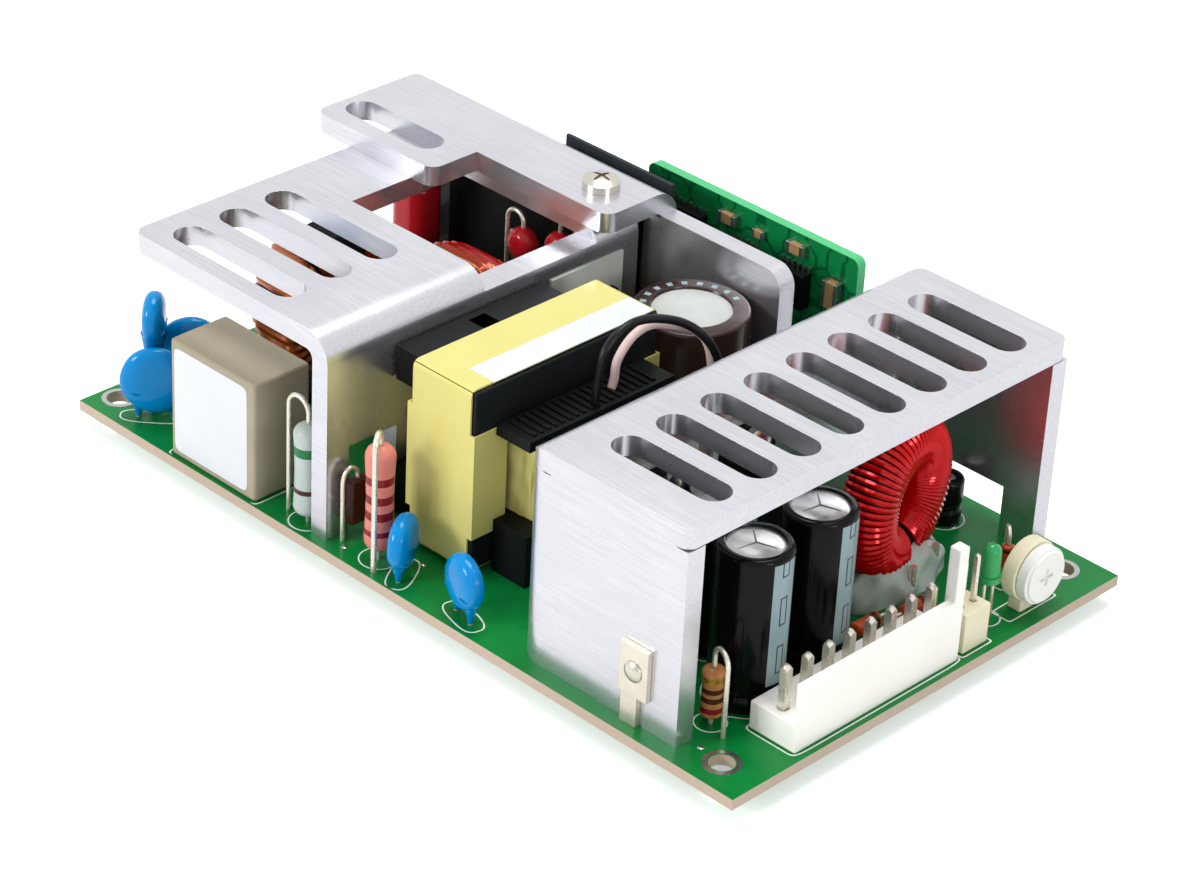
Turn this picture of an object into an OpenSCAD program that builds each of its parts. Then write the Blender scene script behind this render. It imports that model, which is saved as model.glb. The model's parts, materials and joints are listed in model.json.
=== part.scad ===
// Open frame power supply: a printed circuit board with folded aluminium
// heatsinks and the wound and moulded parts of a mains switching converter.
// Units are millimetres. Heights of parts are measured from the board's top.

/* [Board] */
// Length of the main board, along X
board_length = 127; // [125:0.5:132]
// Width of the main board, along Y
board_width = 76.2; // [75.8:0.2:80]
// Thickness of the main board
board_thickness = 1.6; // [1.2:0.2:2.4]
// Length of pin left below the board
pin_stub = 2.5; // [1.5:0.1:4]
// Diameter of the four mounting holes
mounting_hole_d = 3.5; // [3:0.1:4]
// Distance from the output end to its two mounting holes
mounting_inset_output = 6.2; // [4:0.1:6.6]
// Distance from the input end to its two mounting holes
mounting_inset_input = 3.2; // [2.8:0.1:5]
// Distance from a board side to the mounting holes
mounting_inset_y = 4.7; // [4:0.1:5.6]

/* [Sheet metal] */
// Thickness of the folded heatsink sheet
sheet = 3; // [2.4:0.1:3.4]
// Inside radius of the folds
fold_inside_r = 1.3; // [0.8:0.1:1.6]
// Diameter of the pins staked into the heatsink edges
heatsink_pin_d = 1.2; // [0.9:0.1:1.5]
// Height of the input heatsink
primary_height = 31; // [30:0.5:34]
// Outer face of the input heatsink's wall, in X
primary_wall_x = -12.8; // [-13.2:0.1:-12.4]
// Reach of the input heatsink's flange, along X
primary_flange = 40; // [38:0.5:42]
// Front end of the input heatsink, in Y
primary_front_y = -36.5; // [-37.5:0.1:-35.6]
// Length of the slots in the input heatsink
primary_slot_length = 24.8; // [18:0.2:26]
// Width of the slots in all three heatsinks
slot_width = 5; // [3:0.1:5.6]
// Height of the output heatsink
output_height = 31.8; // [30:0.2:35]
// Distance from the output end to the output heatsink
output_inset = 12.2; // [12:0.05:12.6]
// Depth of the output heatsink, along X
output_depth = 28.95; // [27.6:0.05:29.4]
// Front end of the output heatsink, in Y
output_front_y = -35.5; // [-36.4:0.1:-34.6]
// Length of the output heatsink, along Y
output_length = 72.85; // [71.6:0.05:73.6]
// Length of the slots in the output heatsink
output_slot_length = 19; // [14:0.2:20]
// Distance between the slots of the output heatsink
output_slot_pitch = 8.09; // [7.4:0.01:8.4]
// Outer face of the rear heatsink's wall, in Y
rear_wall_y = 26; // [25.9:0.1:27.5]
// Length of the rear heatsink's wall, along X
rear_wall_length = 73; // [66:0.5:75]
// Reach of the rear heatsink's wide flange, along Y
rear_flange = 22.9; // [21:0.1:24]
// Reach of the rear heatsink's narrow flange, along Y
rear_flange_narrow = 14.2; // [13:0.1:16]

/* [Input parts] */
// Width of the box capacitor, along X
box_capacitor_w = 17.6; // [15:0.1:18.5]
// Depth of the box capacitor, along Y
box_capacitor_d = 10; // [8:0.1:10.4]
// Height of the box capacitor
box_capacitor_h = 18.3; // [14:0.1:20]
// Diameter of the large disc capacitors
disc_capacitor_d = 10.4; // [8:0.1:11]
// Diameter of the small disc capacitors
small_disc_d = 8; // [6:0.1:8.4]
// Thickness of the disc capacitors
disc_capacitor_t = 3.2; // [2.4:0.1:3.6]
// Outside diameter of the line choke's core
line_core_od = 20.5; // [18:0.1:21]
// Inside diameter of the line choke's core
line_core_id = 12.5; // [11.5:0.1:13]
// Width of the line choke's core
line_core_w = 7; // [5:0.1:8]
// Outside diameter of the boost choke's core
boost_core_od = 20.8; // [20:0.1:22]
// Inside diameter of the boost choke's core
boost_core_id = 12.4; // [11.6:0.1:13]
// Width of the boost choke's core
boost_core_w = 9.6; // [7:0.1:10]
// Diameter of the bulk capacitor
bulk_d = 16.5; // [15:0.1:16.6]
// Height of the bulk capacitor
bulk_h = 25; // [20:0.5:28]
// Diameter of the power resistor
power_resistor_d = 4.4; // [3.4:0.1:4.8]
// Length of the power resistor
power_resistor_l = 16.4; // [12:0.1:18]

/* [Transformer] */
// Depth of the ferrite core, along X
core_depth = 12; // [10:0.1:12.4]
// Width of the ferrite core, along Y
core_width = 33.8; // [31:0.1:34]
// Height of the ferrite core
core_height = 27.2; // [25:0.1:28]
// Thickness of the core's outer legs and yokes
core_leg = 6.2; // [5.4:0.1:6.4]
// Width of the core's centre leg
centre_leg = 9.6; // [8.6:0.1:10]
// How far the winding stands out past the core on each side
winding_overhang = 6.6; // [5:0.1:6.8]
// Width of the tape band round the core
tape_width = 11; // [8:0.1:11.8]

/* [Output parts] */
// Diameter of the output capacitors
output_capacitor_d = 10.2; // [8:0.1:10.4]
// Height of the output capacitors
output_capacitor_h = 23; // [16:0.5:26]
// Radius of the output choke, at the middle of its ring
output_choke_r = 8; // [7.4:0.1:8.2]
// Thickness of the output choke's wound ring
output_choke_t = 8; // [6.6:0.1:8.2]
// Number of turns on the output choke
output_choke_turns = 34; // [24:1:40]
// Number of pins in the output header
header_pins = 8; // [5:1:8]
// Distance between the output header's pins
header_pitch = 3.96; // [3.5:0.01:4]
// Height of the output header's wall
header_wall_h = 9.6; // [7:0.1:11]
// Diameter of the trimmer's disc
trimmer_d = 8.2; // [6:0.1:9]
// Diameter of the indicator lamp
lamp_d = 2.6; // [2.4:0.1:3]

/* [Hidden] */
$fn = 48;
board_top = pin_stub + board_thickness;
output_end_x = board_length / 2;
input_end_x = -board_length / 2;
front_edge_y = -board_width / 2;
back_edge_y = board_width / 2;
fit_gap = 0.1;
seat_gap = 0.3;
fold_r = sheet + fold_inside_r;
lead_r = 0.35;
thin_lead_r = 0.3;
eps = 0.01;

mounting_places = [
    for (x = [input_end_x + mounting_inset_input, output_end_x - mounting_inset_output])
        for (y = [front_edge_y + mounting_inset_y, back_edge_y - mounting_inset_y])
            [x, y]
];

// Folded sheets
primary_wall_in = primary_wall_x - sheet;
primary_left_x = primary_wall_x - primary_flange;
rear_wall_in = rear_wall_y - sheet;
primary_back_y = rear_wall_in - fold_inside_r;
primary_leg_w = 4;
primary_notch_w = 8.5;
primary_notch_h = 13.3;
window_left_x = primary_left_x + 12.8;
window_front_y = primary_front_y + 28.6;
window_back_y = primary_back_y - 8.2;
window_sill = sheet;
primary_slot_y = primary_front_y + 5.3;
primary_slot_pitch = 8.2;
primary_slot_x = primary_left_x + 3.7;
rear_top = primary_height + sheet;
rear_left_x = primary_left_x - 7.4;
rear_flange_right_x = primary_wall_x + 3.1;
rear_notch_x = rear_left_x + 24.6;
rear_wall_left_x = rear_left_x;
rear_wall_top = primary_height - 0.7;
flange_screw_x = primary_wall_x - 3.8;
flange_screw_y = rear_wall_y - 8.4;
output_right_x = output_end_x - output_inset;
output_rear_x = output_right_x - output_depth;
output_back_y = output_front_y + output_length;
output_under = output_height - sheet;
output_slot_x = output_rear_x + 7.75;
output_slot_y = output_front_y + 8.9;
output_slot_count = 8;

// Heatsink pins: [x, y] under the edges of the folded sheets
heatsink_pin_places = [
    [primary_wall_x - sheet / 2, primary_front_y + primary_leg_w / 2],
    [primary_wall_x - sheet / 2, primary_back_y - 4],
    [rear_wall_left_x + 8, rear_wall_y - sheet / 2],
    [rear_wall_left_x + rear_wall_length - 5, rear_wall_y - sheet / 2],
    [output_right_x - 4, output_front_y + sheet / 2],
    [output_rear_x + 8, output_front_y + sheet / 2],
    [output_rear_x + sheet / 2, output_front_y + output_length / 2],
    [output_right_x - 2.8, output_back_y - sheet / 2]
];

// Box capacitor
box_capacitor_x = -44;
box_capacitor_y = front_edge_y + 0.7;

// Disc capacitors: [x, y, height of the centre, turn about Z, diameter]
disc_places = [
    [input_end_x + 10.6, -32.8, 5.9, 43, disc_capacitor_d],
    [input_end_x + 6.5, -29.6, 13, -47, small_disc_d],
    [input_end_x + 8.1, -24.2, 7, 43, disc_capacitor_d - 0.6],
    [-0.1, -34.2, 5.1, -60, small_disc_d],
    [12.6, -35.1, 5.4, -15, small_disc_d]
];
disc_pitch_share = 0.48;

// Line choke, standing with its axis along X
line_choke_x = -46.6;
line_choke_y = -6.2;
line_wire_r = 0.6;
line_turns = 9;
line_mid_r = (line_core_od + line_core_id) / 4;
line_section = (line_core_od - line_core_id) / 2;
choke_base_h = 1.6;
choke_base_length = 18;
cradle_t = 1.4;
line_centre_z = choke_base_h + line_core_od / 2 + 2 * line_wire_r + seat_gap;

// Boost choke, standing with its axis along X
boost_choke_x = -27;
boost_choke_y = -0.6;
boost_wire_r = 0.62;
boost_turns = 24;
boost_mid_r = (boost_core_od + boost_core_id) / 4;
boost_section = (boost_core_od - boost_core_id) / 2;
boost_centre_z = choke_base_h + boost_core_od / 2 + 2 * boost_wire_r + seat_gap;

// Power devices, in flat moulded cases with a screw tab
device_w = 10;
device_t = 4.4;
device_body_h = 9;
device_h = 15.4;
device_tab_t = 1.3;
device_z = 5.2;
device_hole_z = 12.6;
pad_t = 0.3;
screw_r = 1.45;
screw_head_r = 2.7;
screw_head_h = 1.9;
primary_device_y = [-12, 1];
outer_device_y = 11.5;
outer_pad_w = 14;
outer_pad_h = 21.2;
output_device_y = [-12, 3];
bridge_w = 31;
bridge_h = 20;
bridge_t = 3.6;
bridge_x = -33;
bridge_lead_pitch = 7.62;

// Film and dipped capacitors
film_x = input_end_x + 9.4;
film_y = 11.6;
film_w = 6.9;
film_d = 6;
film_h = 23;
film_lift = 1;
film_lead_pitch = 4;
// Dipped capacitors: [x, y, height of the centre, reach of the top lead's hook]
dipped_places = [[-27.6, 13.7, 22, -3.2], [-23.2, 16.7, 22, 3.2]];
dipped_r = 2.5;
dipped_t = 3.4;

// Inrush limiter and power resistor
limiter_r = 2.2;
limiter_h = 15.4;
limiter_x = primary_wall_in - limiter_r - seat_gap;
limiter_y = -34.8;
power_resistor_x = -5;
power_resistor_y = -34;
resistor_lead_step = [1.9, -2.7];

// Transformer
transformer_x = 0.35;
core_front_y = -28;
core_z = 0.8;
core_mid_y = core_front_y + core_width / 2;
core_back_y = core_front_y + core_width;
core_top = core_z + core_height;
window_y = (core_width - 2 * core_leg - centre_leg) / 2;
window_z = core_height - 2 * core_leg;
window_low_z = core_z + core_leg;
window_high_z = core_top - core_leg;
tape_t = 0.3;
bobbin_wall = 0.8;
winding_half_x = core_depth / 2 + winding_overhang;
winding_half_y = centre_leg / 2 + window_y - 2 * fit_gap;
bobbin_block_top = 26;

// Bulk capacitor, between the core and the rear heatsink
sleeve_t = 0.25;
bulk_x = 4.6;
bulk_y = rear_wall_in - seat_gap - bulk_d / 2;

// Flying leads, from the bobbin's top to the board: points in [x, y, height]
lead_seat_z = window_high_z - fit_gap + bobbin_wall;
pale_lead_route = [
    [10, -6.5, lead_seat_z], [10, -6.1, 23.8], [10, -5.6, 26.5], [10, -3.2, 28.9], [10, -0.2, 29.6],
    [10.2, 2.8, 28.9], [11.2, 6.8, 27.2], [12.4, 8.6, 25.6], [13.2, 9.4, 22], [13.4, 9.8, 14],
    [13.4, 9.8, 6], [13.4, 9.8, 0]
];
dark_lead_route = [
    [11.6, -11.2, lead_seat_z], [11.6, -11, 25], [11.6, -9.8, 29.8], [11.6, -6.3, 32.2],
    [11.7, -1.8, 32], [12.6, 3.6, 29.9], [14.4, 6.6, 27.2], [15.6, 8.4, 23], [16, 9.4, 16],
    [16, 9.6, 8], [16, 9.6, 0]
];
flying_lead_r = 0.75;
tube_sides = 8;

// Control board, standing along X behind the rear heatsink
control_y = back_edge_y - 5.1;
control_length = 40;
control_x = output_rear_x - 4.35 - control_length;
control_t = 1.6;
control_z = 1.2;
control_height = 29.8;
control_pin_count = 12;
control_pin_pitch = 2.54;
control_pin_inset = 6;
// Parts on its front: [x, z, width, height, thickness]
control_parts = [
    [4, 21, 8, 6, 1.6], [16, 20.5, 6.4, 5, 1.6], [26, 19.5, 6, 6.4, 2.2], [35, 22, 2.6, 4, 1.4],
    [14.6, 27, 3.2, 1.6, 1], [21, 27, 2, 1.2, 0.8], [6, 12, 9.8, 6.2, 1.8], [20, 11, 5, 4, 1.6],
    [30, 12, 4, 4, 3], [1.6, 14, 2, 3.2, 1.2], [27.5, 27.4, 3.2, 1.6, 1], [34, 15.5, 3.2, 1.6, 1]
];

// Insulating sheet, against the rear heatsink's outer face
insulator_x = -32;
insulator_length = 21;
insulator_t = 0.6;
insulator_gap = 0.05;
insulator_top = 33.6;

// Output capacitors: [x, y]
output_capacitor_places = [
    [output_end_x - 14.6, -20.3], [output_end_x - 15.2, -7.7], [output_end_x - 26.3, -14.4]
];
rear_capacitor_x = output_end_x - 25.2;
rear_capacitor_y = 31.2;
rear_capacitor_r = 2.5;
rear_capacitor_h = 7;

// Output choke, standing on edge
output_choke_x = output_end_x - 20.9;
output_choke_y = 14.6;
output_choke_turn = 14;
output_choke_z = output_choke_r + output_choke_t / 2 + 0.8;
output_wire_r = 0.42;
output_core_r = output_choke_t / 2 - 2 * output_wire_r - fit_gap;
choke_open_angle = 12;
ring_steps = 4;
tube_points = 8;

// Output header, along the board's output end
header_x = output_end_x - 9.2;
header_depth = 7.8;
header_base_h = 4.2;
header_y = -25.4;
header_end = 1.95;
header_length = (header_pins - 1) * header_pitch + 2 * header_end;
header_wall_t = 1.3;
header_pin_x = header_x + 3.8;
header_pin_w = 1.14;
header_pin_top = 10.6;
header_post_top = 17.4;
header_post_w = 1.9;

// Signal header
signal_x = output_end_x - 5.9;
signal_y = header_y + header_length + 1.2;
signal_w = 4.2;
signal_length = 5;
signal_h = 6;
signal_pitch = 2.5;
signal_pin_w = 0.64;
signal_pin_top = 13;

// Input header, at the board's input end
input_x = input_end_x + 1.2;
input_y = 5.4;
input_pins = 3;
input_length = (input_pins - 1) * header_pitch + 2 * header_end;

// Fuse
fuse_r = 4.2;
fuse_x = input_end_x + 14.1;
fuse_y = rear_wall_y + 1.4 + fuse_r;
fuse_h = 7.6;

// Lamp and trimmer
lamp_x = output_end_x - 5.4;
lamp_y = 16.4;
lamp_z = 6;
lamp_h = 5.6;
lamp_lead_pitch = 1.8;
trimmer_x = output_end_x - 0.9;
trimmer_y = 23;
trimmer_z = 5.7;
trimmer_t = 2;
trimmer_body_t = 2.2;
trimmer_shaft_r = 1.2;
trimmer_clearance = 0.05;

// Banded resistor, standing beside the header
standing_resistor = [output_end_x - 13.1, -28.2];
standing_lift = 1;
small_resistor_r = 1.65;
small_resistor_l = 7.6;
// Lying parts behind the header: [x from the output end, y, length, radius]
lying_places = [[-13.45, 1.6, 5, 1.15], [-12.15, 9.6, 5, 1.05]];
glass_x = output_end_x - 8.9;
glass_y = 24.6;
glass_z = 2.8;
glass_r = 0.95;
glass_l = 3.6;

// Ground lug on the output heatsink's front face
lug_x = output_right_x - 9.6;
lug_w = 4.9;
lug_z = 4.4;
lug_top = 11.9;
lug_t = 0.8;
lug_leg_w = 2.8;
lug_leg_inset = 0.5;
rivet_r = 1.5;

// ---------------------------------------------------------------- helpers

// Lifts its children from the board's underside frame to the board's top
module on_board(x = 0, y = 0, z = 0) {
    translate([x, y, board_top + z]) children();
}

// Rectangle with round corners, drawn from its low corner
module round_rect(w, h, r) {
    translate([r, 0]) square([w - 2 * r, h]);
    translate([0, r]) square([w, h - 2 * r]);
    for (x = [r, w - r])
        for (y = [r, h - r])
            translate([x, y]) circle(r);
}

// Slot with round ends, along X, from its left end
module slot_cut(length, width, depth) {
    r = width / 2;
    translate([r, -r, 0]) cube([length - width, width, depth]);
    for (x = [r, length - r])
        translate([x, 0, 0]) cylinder(r = r, h = depth);
}

// Section of a sheet folded through a right angle: the flange runs to -X at
// the top, the wall hangs at the right, and the outer corner is at [0, 0]
module folded_section(flange, wall) {
    translate([-flange, -sheet]) square([flange - fold_r, sheet]);
    translate([-sheet, -wall]) square([sheet, wall - fold_r]);
    translate([-fold_r, -fold_r]) quarter_ring(fold_r, fold_inside_r);
}

// Quarter of a ring, in the first quadrant
module quarter_ring(outer, inner) {
    intersection() {
        difference() {
            circle(outer);
            circle(inner);
        }
        square([outer, outer]);
    }
}

// Round bar between a low and a high end
module post(x, y, low, high, r) {
    on_board(x, y, low) cylinder(r = r, h = high - low);
}

// Lead that leaves a part's top, turns over and comes down beside it
module hooked_lead(x, y, dx, dy, top, low, r) {
    span = sqrt(dx * dx + dy * dy);
    bend = span / 2;
    on_board(x, y, 0) rotate([0, 0, atan2(dy, dx)]) {
        translate([bend, 0, top]) rotate([90, 0, 0])
            rotate_extrude(angle = 180) translate([bend, 0]) circle(r);
        translate([0, 0, low]) cylinder(r = r, h = top - low);
        translate([span, 0, 0]) cylinder(r = r, h = top);
    }
}

// Smooth route through a list of points, as a list of points
function between(a, b, c, d, t) =
    0.5 * ((2 * b) + (c - a) * t + (2 * a - 5 * b + 4 * c - d) * t * t
        + (3 * b - a - 3 * c + d) * t * t * t);
function smooth_route(p, n) = [
    for (i = [0 : len(p) - 2])
        for (k = [0 : n - 1])
            between(p[max(i - 1, 0)], p[i], p[i + 1], p[min(i + 2, len(p) - 1)], k / n),
    p[len(p) - 1]
];
function unit(v) = v / norm(v);

// Round tube along a route; its ends are level
module tube(route, r) {
    last = len(route) - 1;
    side = [1, 0, 0];
    rings = [
        for (i = [0 : last])
            let (d = unit(route[min(i + 1, last)] - route[max(i - 1, 0)]),
                 level = (i == 0) ? [0, 0, 1] : (i == last) ? [0, 0, -1] : d,
                 u = unit(side - (side * level) * level),
                 v = cross(level, u))
            for (k = [0 : tube_sides - 1])
                let (a = 360 * k / tube_sides)
                route[i] + r * (cos(a) * u + sin(a) * v)
    ];
    faces = concat(
        [[for (k = [0 : tube_sides - 1]) k]],
        [[for (k = [tube_sides - 1 : -1 : 0]) last * tube_sides + k]],
        [for (i = [0 : last - 1])
            for (k = [0 : tube_sides - 1])
                let (n = (k + 1) % tube_sides)
                [i * tube_sides + k, (i + 1) * tube_sides + k,
                 (i + 1) * tube_sides + n, i * tube_sides + n]]
    );
    polyhedron(points = rings, faces = faces, convexity = 6);
}

// Disc standing in the XZ plane with a half-round rim, centred on the origin
module round_disc(d, t) {
    rotate([90, 0, 0]) rotate_extrude() {
        translate([0, -t / 2]) square([d / 2 - t / 2, t]);
        intersection() {
            translate([d / 2 - t / 2, 0]) circle(t / 2);
            translate([0, -t]) square([d, 2 * t]);
        }
    }
}

// Pan head screw pointing to -Z, its head's underside at the origin
module pan_screw(length) {
    recess = 0.55;
    difference() {
        union() {
            cylinder(r = screw_head_r, h = screw_head_h * 0.55);
            intersection() {
                cylinder(r = screw_head_r, h = screw_head_h);
                translate([0, 0, screw_head_h - 5]) sphere(r = 5);
            }
        }
        for (a = [0, 90])
            rotate([0, 0, a]) translate([-1.5, -recess / 2, screw_head_h - 1])
                cube([3, recess, 2]);
    }
    translate([0, 0, -length]) cylinder(r = screw_r, h = length + eps);
}

// ---------------------------------------------------------------- board

module main_board() {
    color([0.05, 0.47, 0.25]) difference() {
        translate([-board_length / 2, -board_width / 2, pin_stub])
            cube([board_length, board_width, board_thickness]);
        for (p = mounting_places)
            translate([p[0], p[1], 0]) cylinder(d = mounting_hole_d, h = board_top + 1);
        for (p = heatsink_pin_places)
            translate([p[0], p[1], 0])
                cylinder(d = heatsink_pin_d + 2 * fit_gap, h = board_top + 1);
    }
}

// Pins staked into the heatsinks, through the board
module heatsink_pins() {
    color([0.75, 0.74, 0.7])
        for (p = heatsink_pin_places)
            translate([p[0], p[1], 0]) cylinder(d = heatsink_pin_d, h = board_top);
}

// One joint: a cone of solder with the trimmed lead standing out of it
module solder_joint() {
    stub = pin_stub - 0.7;
    translate([0, 0, -0.8]) cylinder(r1 = 0.55, r2 = 1, h = 0.8);
    translate([0, 0, -stub]) cylinder(r = 0.35, h = stub);
}

module solder_row(x, y, count, step_x, step_y) {
    for (i = [0 : count - 1])
        translate([x + i * step_x, y + i * step_y, pin_stub]) solder_joint();
}

module solder_joints() {
    color([0.74, 0.74, 0.73]) {
        solder_row(header_pin_x, header_y + header_end, header_pins, 0, header_pitch);
        solder_row(input_x + header_depth / 2, input_y + header_end, input_pins, 0, header_pitch);
        solder_row(signal_x + signal_w / 2, signal_y + 1.25, 2, 0, signal_pitch);
        solder_row(control_x + control_pin_inset, control_y + control_t / 2, control_pin_count,
            control_pin_pitch, 0);
        for (x = [-1, 1])
            solder_row(transformer_x + x * (core_depth / 2 + 3.6), core_mid_y - 10, 5, 0, 5);
        for (p = disc_places)
            translate([p[0], p[1], pin_stub]) rotate([0, 0, p[3]])
                for (s = [-1, 1])
                    translate([s * p[4] * disc_pitch_share / 2, 0, 0]) solder_joint();
        for (p = output_capacitor_places)
            solder_row(p[0], p[1] - 2.5, 2, 0, 5);
        solder_row(bulk_x - 3.75, bulk_y, 2, 7.5, 0);
        solder_row(box_capacitor_x + 1.4, box_capacitor_y + box_capacitor_d / 2, 2,
            box_capacitor_w - 2.8, 0);
        for (y = primary_device_y)
            solder_row(primary_wall_in - pad_t - 2.6, y - 2.54, 3, 0, 2.54);
        solder_row(primary_wall_x + pad_t + 2.6, outer_device_y - 2.54, 3, 0, 2.54);
        for (y = output_device_y)
            solder_row(output_rear_x + sheet + pad_t + 2.6, y - 2.54, 3, 0, 2.54);
        solder_row(bridge_x - 1.5 * bridge_lead_pitch, rear_wall_in - pad_t - bridge_t / 2, 4,
            bridge_lead_pitch, 0);
    }
}

// ---------------------------------------------------------------- heatsinks

module heatsink_primary() {
    length = primary_back_y - primary_front_y;
    color([0.8, 0.8, 0.82]) difference() {
        on_board(primary_wall_x, primary_back_y, primary_height)
            rotate([90, 0, 0]) linear_extrude(height = length)
                folded_section(primary_flange, primary_height);
        for (i = [0 : 2])
            on_board(primary_slot_x, primary_slot_y + i * primary_slot_pitch, primary_height - sheet - 1)
                slot_cut(primary_slot_length, slot_width, sheet + 2);
        on_board(window_left_x, window_front_y, primary_height - window_sill)
            cube([primary_wall_x - window_left_x + 1, window_back_y - window_front_y, window_sill + 1]);
        on_board(primary_wall_in - 1, primary_front_y + primary_leg_w, -1)
            cube([sheet + 2, primary_notch_w, primary_notch_h + 1]);
        on_board(flange_screw_x, flange_screw_y, primary_height - sheet - 1)
            cylinder(r = screw_r + fit_gap, h = sheet + 2);
        for (y = concat(primary_device_y, outer_device_y))
            on_board(primary_wall_in - 1, y, device_z + device_hole_z) rotate([0, 90, 0])
                cylinder(r = screw_r + fit_gap, h = sheet + 2);
    }
}

module heatsink_rear() {
    flange_length = rear_flange_right_x - rear_left_x;
    wall_extra = rear_wall_left_x + rear_wall_length - rear_flange_right_x;
    corner = 3;
    color([0.8, 0.8, 0.82]) difference() {
        union() {
            on_board(rear_left_x, rear_wall_y, rear_top)
                rotate([90, 0, 90]) linear_extrude(height = flange_length)
                    folded_section(rear_flange, rear_top);
            on_board(rear_flange_right_x, rear_wall_y, 0) rotate([90, 0, 0])
                linear_extrude(height = sheet) {
                    translate([-fold_r, 0]) square([fold_r + wall_extra - corner, rear_wall_top]);
                    square([wall_extra, rear_wall_top - corner]);
                    translate([wall_extra - corner, rear_wall_top - corner]) circle(corner);
                }
        }
        on_board(rear_notch_x, rear_wall_y - rear_flange - 1, primary_height - 1)
            cube([primary_flange, rear_flange - rear_flange_narrow + 1, sheet + 2]);
        on_board(rear_left_x + 1.6, rear_wall_y - rear_flange + 5.6, primary_height - 1)
            slot_cut(18.4, slot_width, sheet + 2);
        on_board(flange_screw_x, flange_screw_y, primary_height - 1)
            cylinder(r = screw_r + fit_gap, h = sheet + 2);
        on_board(bridge_x, rear_wall_y + 1, device_z + device_hole_z) rotate([90, 0, 0])
            cylinder(r = screw_r + fit_gap, h = sheet + 2);
    }
}

// Plan of the output heatsink: rear wall between two side walls
module output_plan() {
    wall = output_length - 2 * fold_r;
    side = output_depth - fold_r;
    translate([output_rear_x, output_front_y + fold_r]) square([sheet, wall]);
    translate([output_rear_x + fold_r, output_front_y]) square([side, sheet]);
    translate([output_rear_x + fold_r, output_back_y - sheet]) square([side, sheet]);
    translate([output_rear_x + fold_r, output_front_y + fold_r]) rotate([0, 0, 180])
        quarter_ring(fold_r, fold_inside_r);
    translate([output_rear_x + fold_r, output_back_y - fold_r]) rotate([0, 0, 90])
        quarter_ring(fold_r, fold_inside_r);
}

module heatsink_output() {
    seam = 0.15;
    corner = 1.6;
    cutout_w = 17;
    cutout_h = 7.2;
    leg_w = 5.7;
    wall_h = output_height - fold_r;
    color([0.82, 0.82, 0.84]) difference() {
        union() {
            on_board() linear_extrude(height = wall_h) output_plan();
            difference() {
                on_board(0, 0, wall_h - eps)
                    linear_extrude(height = output_under - seam - wall_h + eps) output_plan();
                on_board(output_rear_x - 1, output_front_y + fold_r, wall_h - 1)
                    cube([fold_r + 1, output_length - 2 * fold_r, fold_r]);
            }
            intersection() {
                on_board(output_rear_x, output_front_y, output_height)
                    rotate([90, 0, 180]) linear_extrude(height = output_length)
                        folded_section(output_depth, fold_r + 0.5);
                on_board(output_rear_x, output_front_y, 0) linear_extrude(height = output_height + 1)
                    output_outline(corner);
            }
        }
        for (i = [0 : output_slot_count - 1])
            on_board(output_slot_x, output_slot_y + i * output_slot_pitch, output_under - 1)
                slot_cut(output_slot_length, slot_width, sheet + 2);
        on_board(output_right_x - leg_w - cutout_w, output_back_y - sheet - 1, -1)
            cube([cutout_w, sheet + 2, cutout_h + 1]);
        for (y = output_device_y)
            on_board(output_rear_x - 1, y, device_z + device_hole_z) rotate([0, 90, 0])
                cylinder(r = screw_r + fit_gap, h = sheet + 2);
    }
}

// Outline of the output heatsink seen from above
module output_outline(corner) {
    translate([0, fold_r]) square([fold_r, output_length - 2 * fold_r]);
    translate([fold_r, 0]) square([output_depth - fold_r - corner, output_length]);
    translate([output_depth - corner - eps, corner]) square([corner + eps, output_length - 2 * corner]);
    for (y = [fold_r, output_length - fold_r])
        translate([fold_r, y]) circle(fold_r);
    for (y = [corner, output_length - corner])
        translate([output_depth - corner, y]) circle(corner);
}

module heatsink_screws() {
    color([0.78, 0.76, 0.7]) {
        on_board(flange_screw_x, flange_screw_y, rear_top) pan_screw(2 * sheet + 1);
        for (y = primary_device_y)
            on_board(primary_wall_in - pad_t - device_tab_t, y, device_z + device_hole_z)
                rotate([0, -90, 0]) pan_screw(device_tab_t + pad_t + sheet);
        on_board(primary_wall_x + pad_t + device_tab_t, outer_device_y, device_z + device_hole_z)
            rotate([0, 90, 0]) pan_screw(device_tab_t + pad_t + sheet);
        for (y = output_device_y)
            on_board(output_rear_x + sheet + pad_t + device_tab_t, y, device_z + device_hole_z)
                rotate([0, 90, 0]) pan_screw(device_tab_t + pad_t + sheet);
        on_board(bridge_x, rear_wall_in - pad_t - bridge_t, device_z + device_hole_z)
            rotate([90, 0, 0]) pan_screw(bridge_t + pad_t + sheet);
    }
}

// Tinned lug: a plate on the side wall with a narrow leg down to the board
module ground_lug() {
    color([0.7, 0.7, 0.68]) on_board(0, output_front_y, 0) difference() {
        union() {
            translate([lug_x, -lug_t, lug_z]) cube([lug_w, lug_t, lug_top - lug_z]);
            translate([lug_x + lug_leg_inset, -lug_t, 0]) cube([lug_leg_w, lug_t, lug_z + eps]);
        }
        translate([lug_x + lug_w / 2, 1, (lug_z + lug_top) / 2]) rotate([90, 0, 0])
            cylinder(r = rivet_r - 0.5, h = lug_t + 2);
    }
}

module lug_rivet() {
    color([0.8, 0.8, 0.8])
        on_board(lug_x + lug_w / 2, output_front_y - lug_t, (lug_z + lug_top) / 2)
            rotate([90, 0, 0]) {
                intersection() {
                    cylinder(r = rivet_r, h = 1);
                    translate([0, 0, -1.6]) sphere(r = 2.3);
                }
                translate([0, 0, -lug_t]) cylinder(r = rivet_r - 0.5 - fit_gap, h = lug_t + eps);
            }
}

// ---------------------------------------------------------------- input parts

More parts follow.
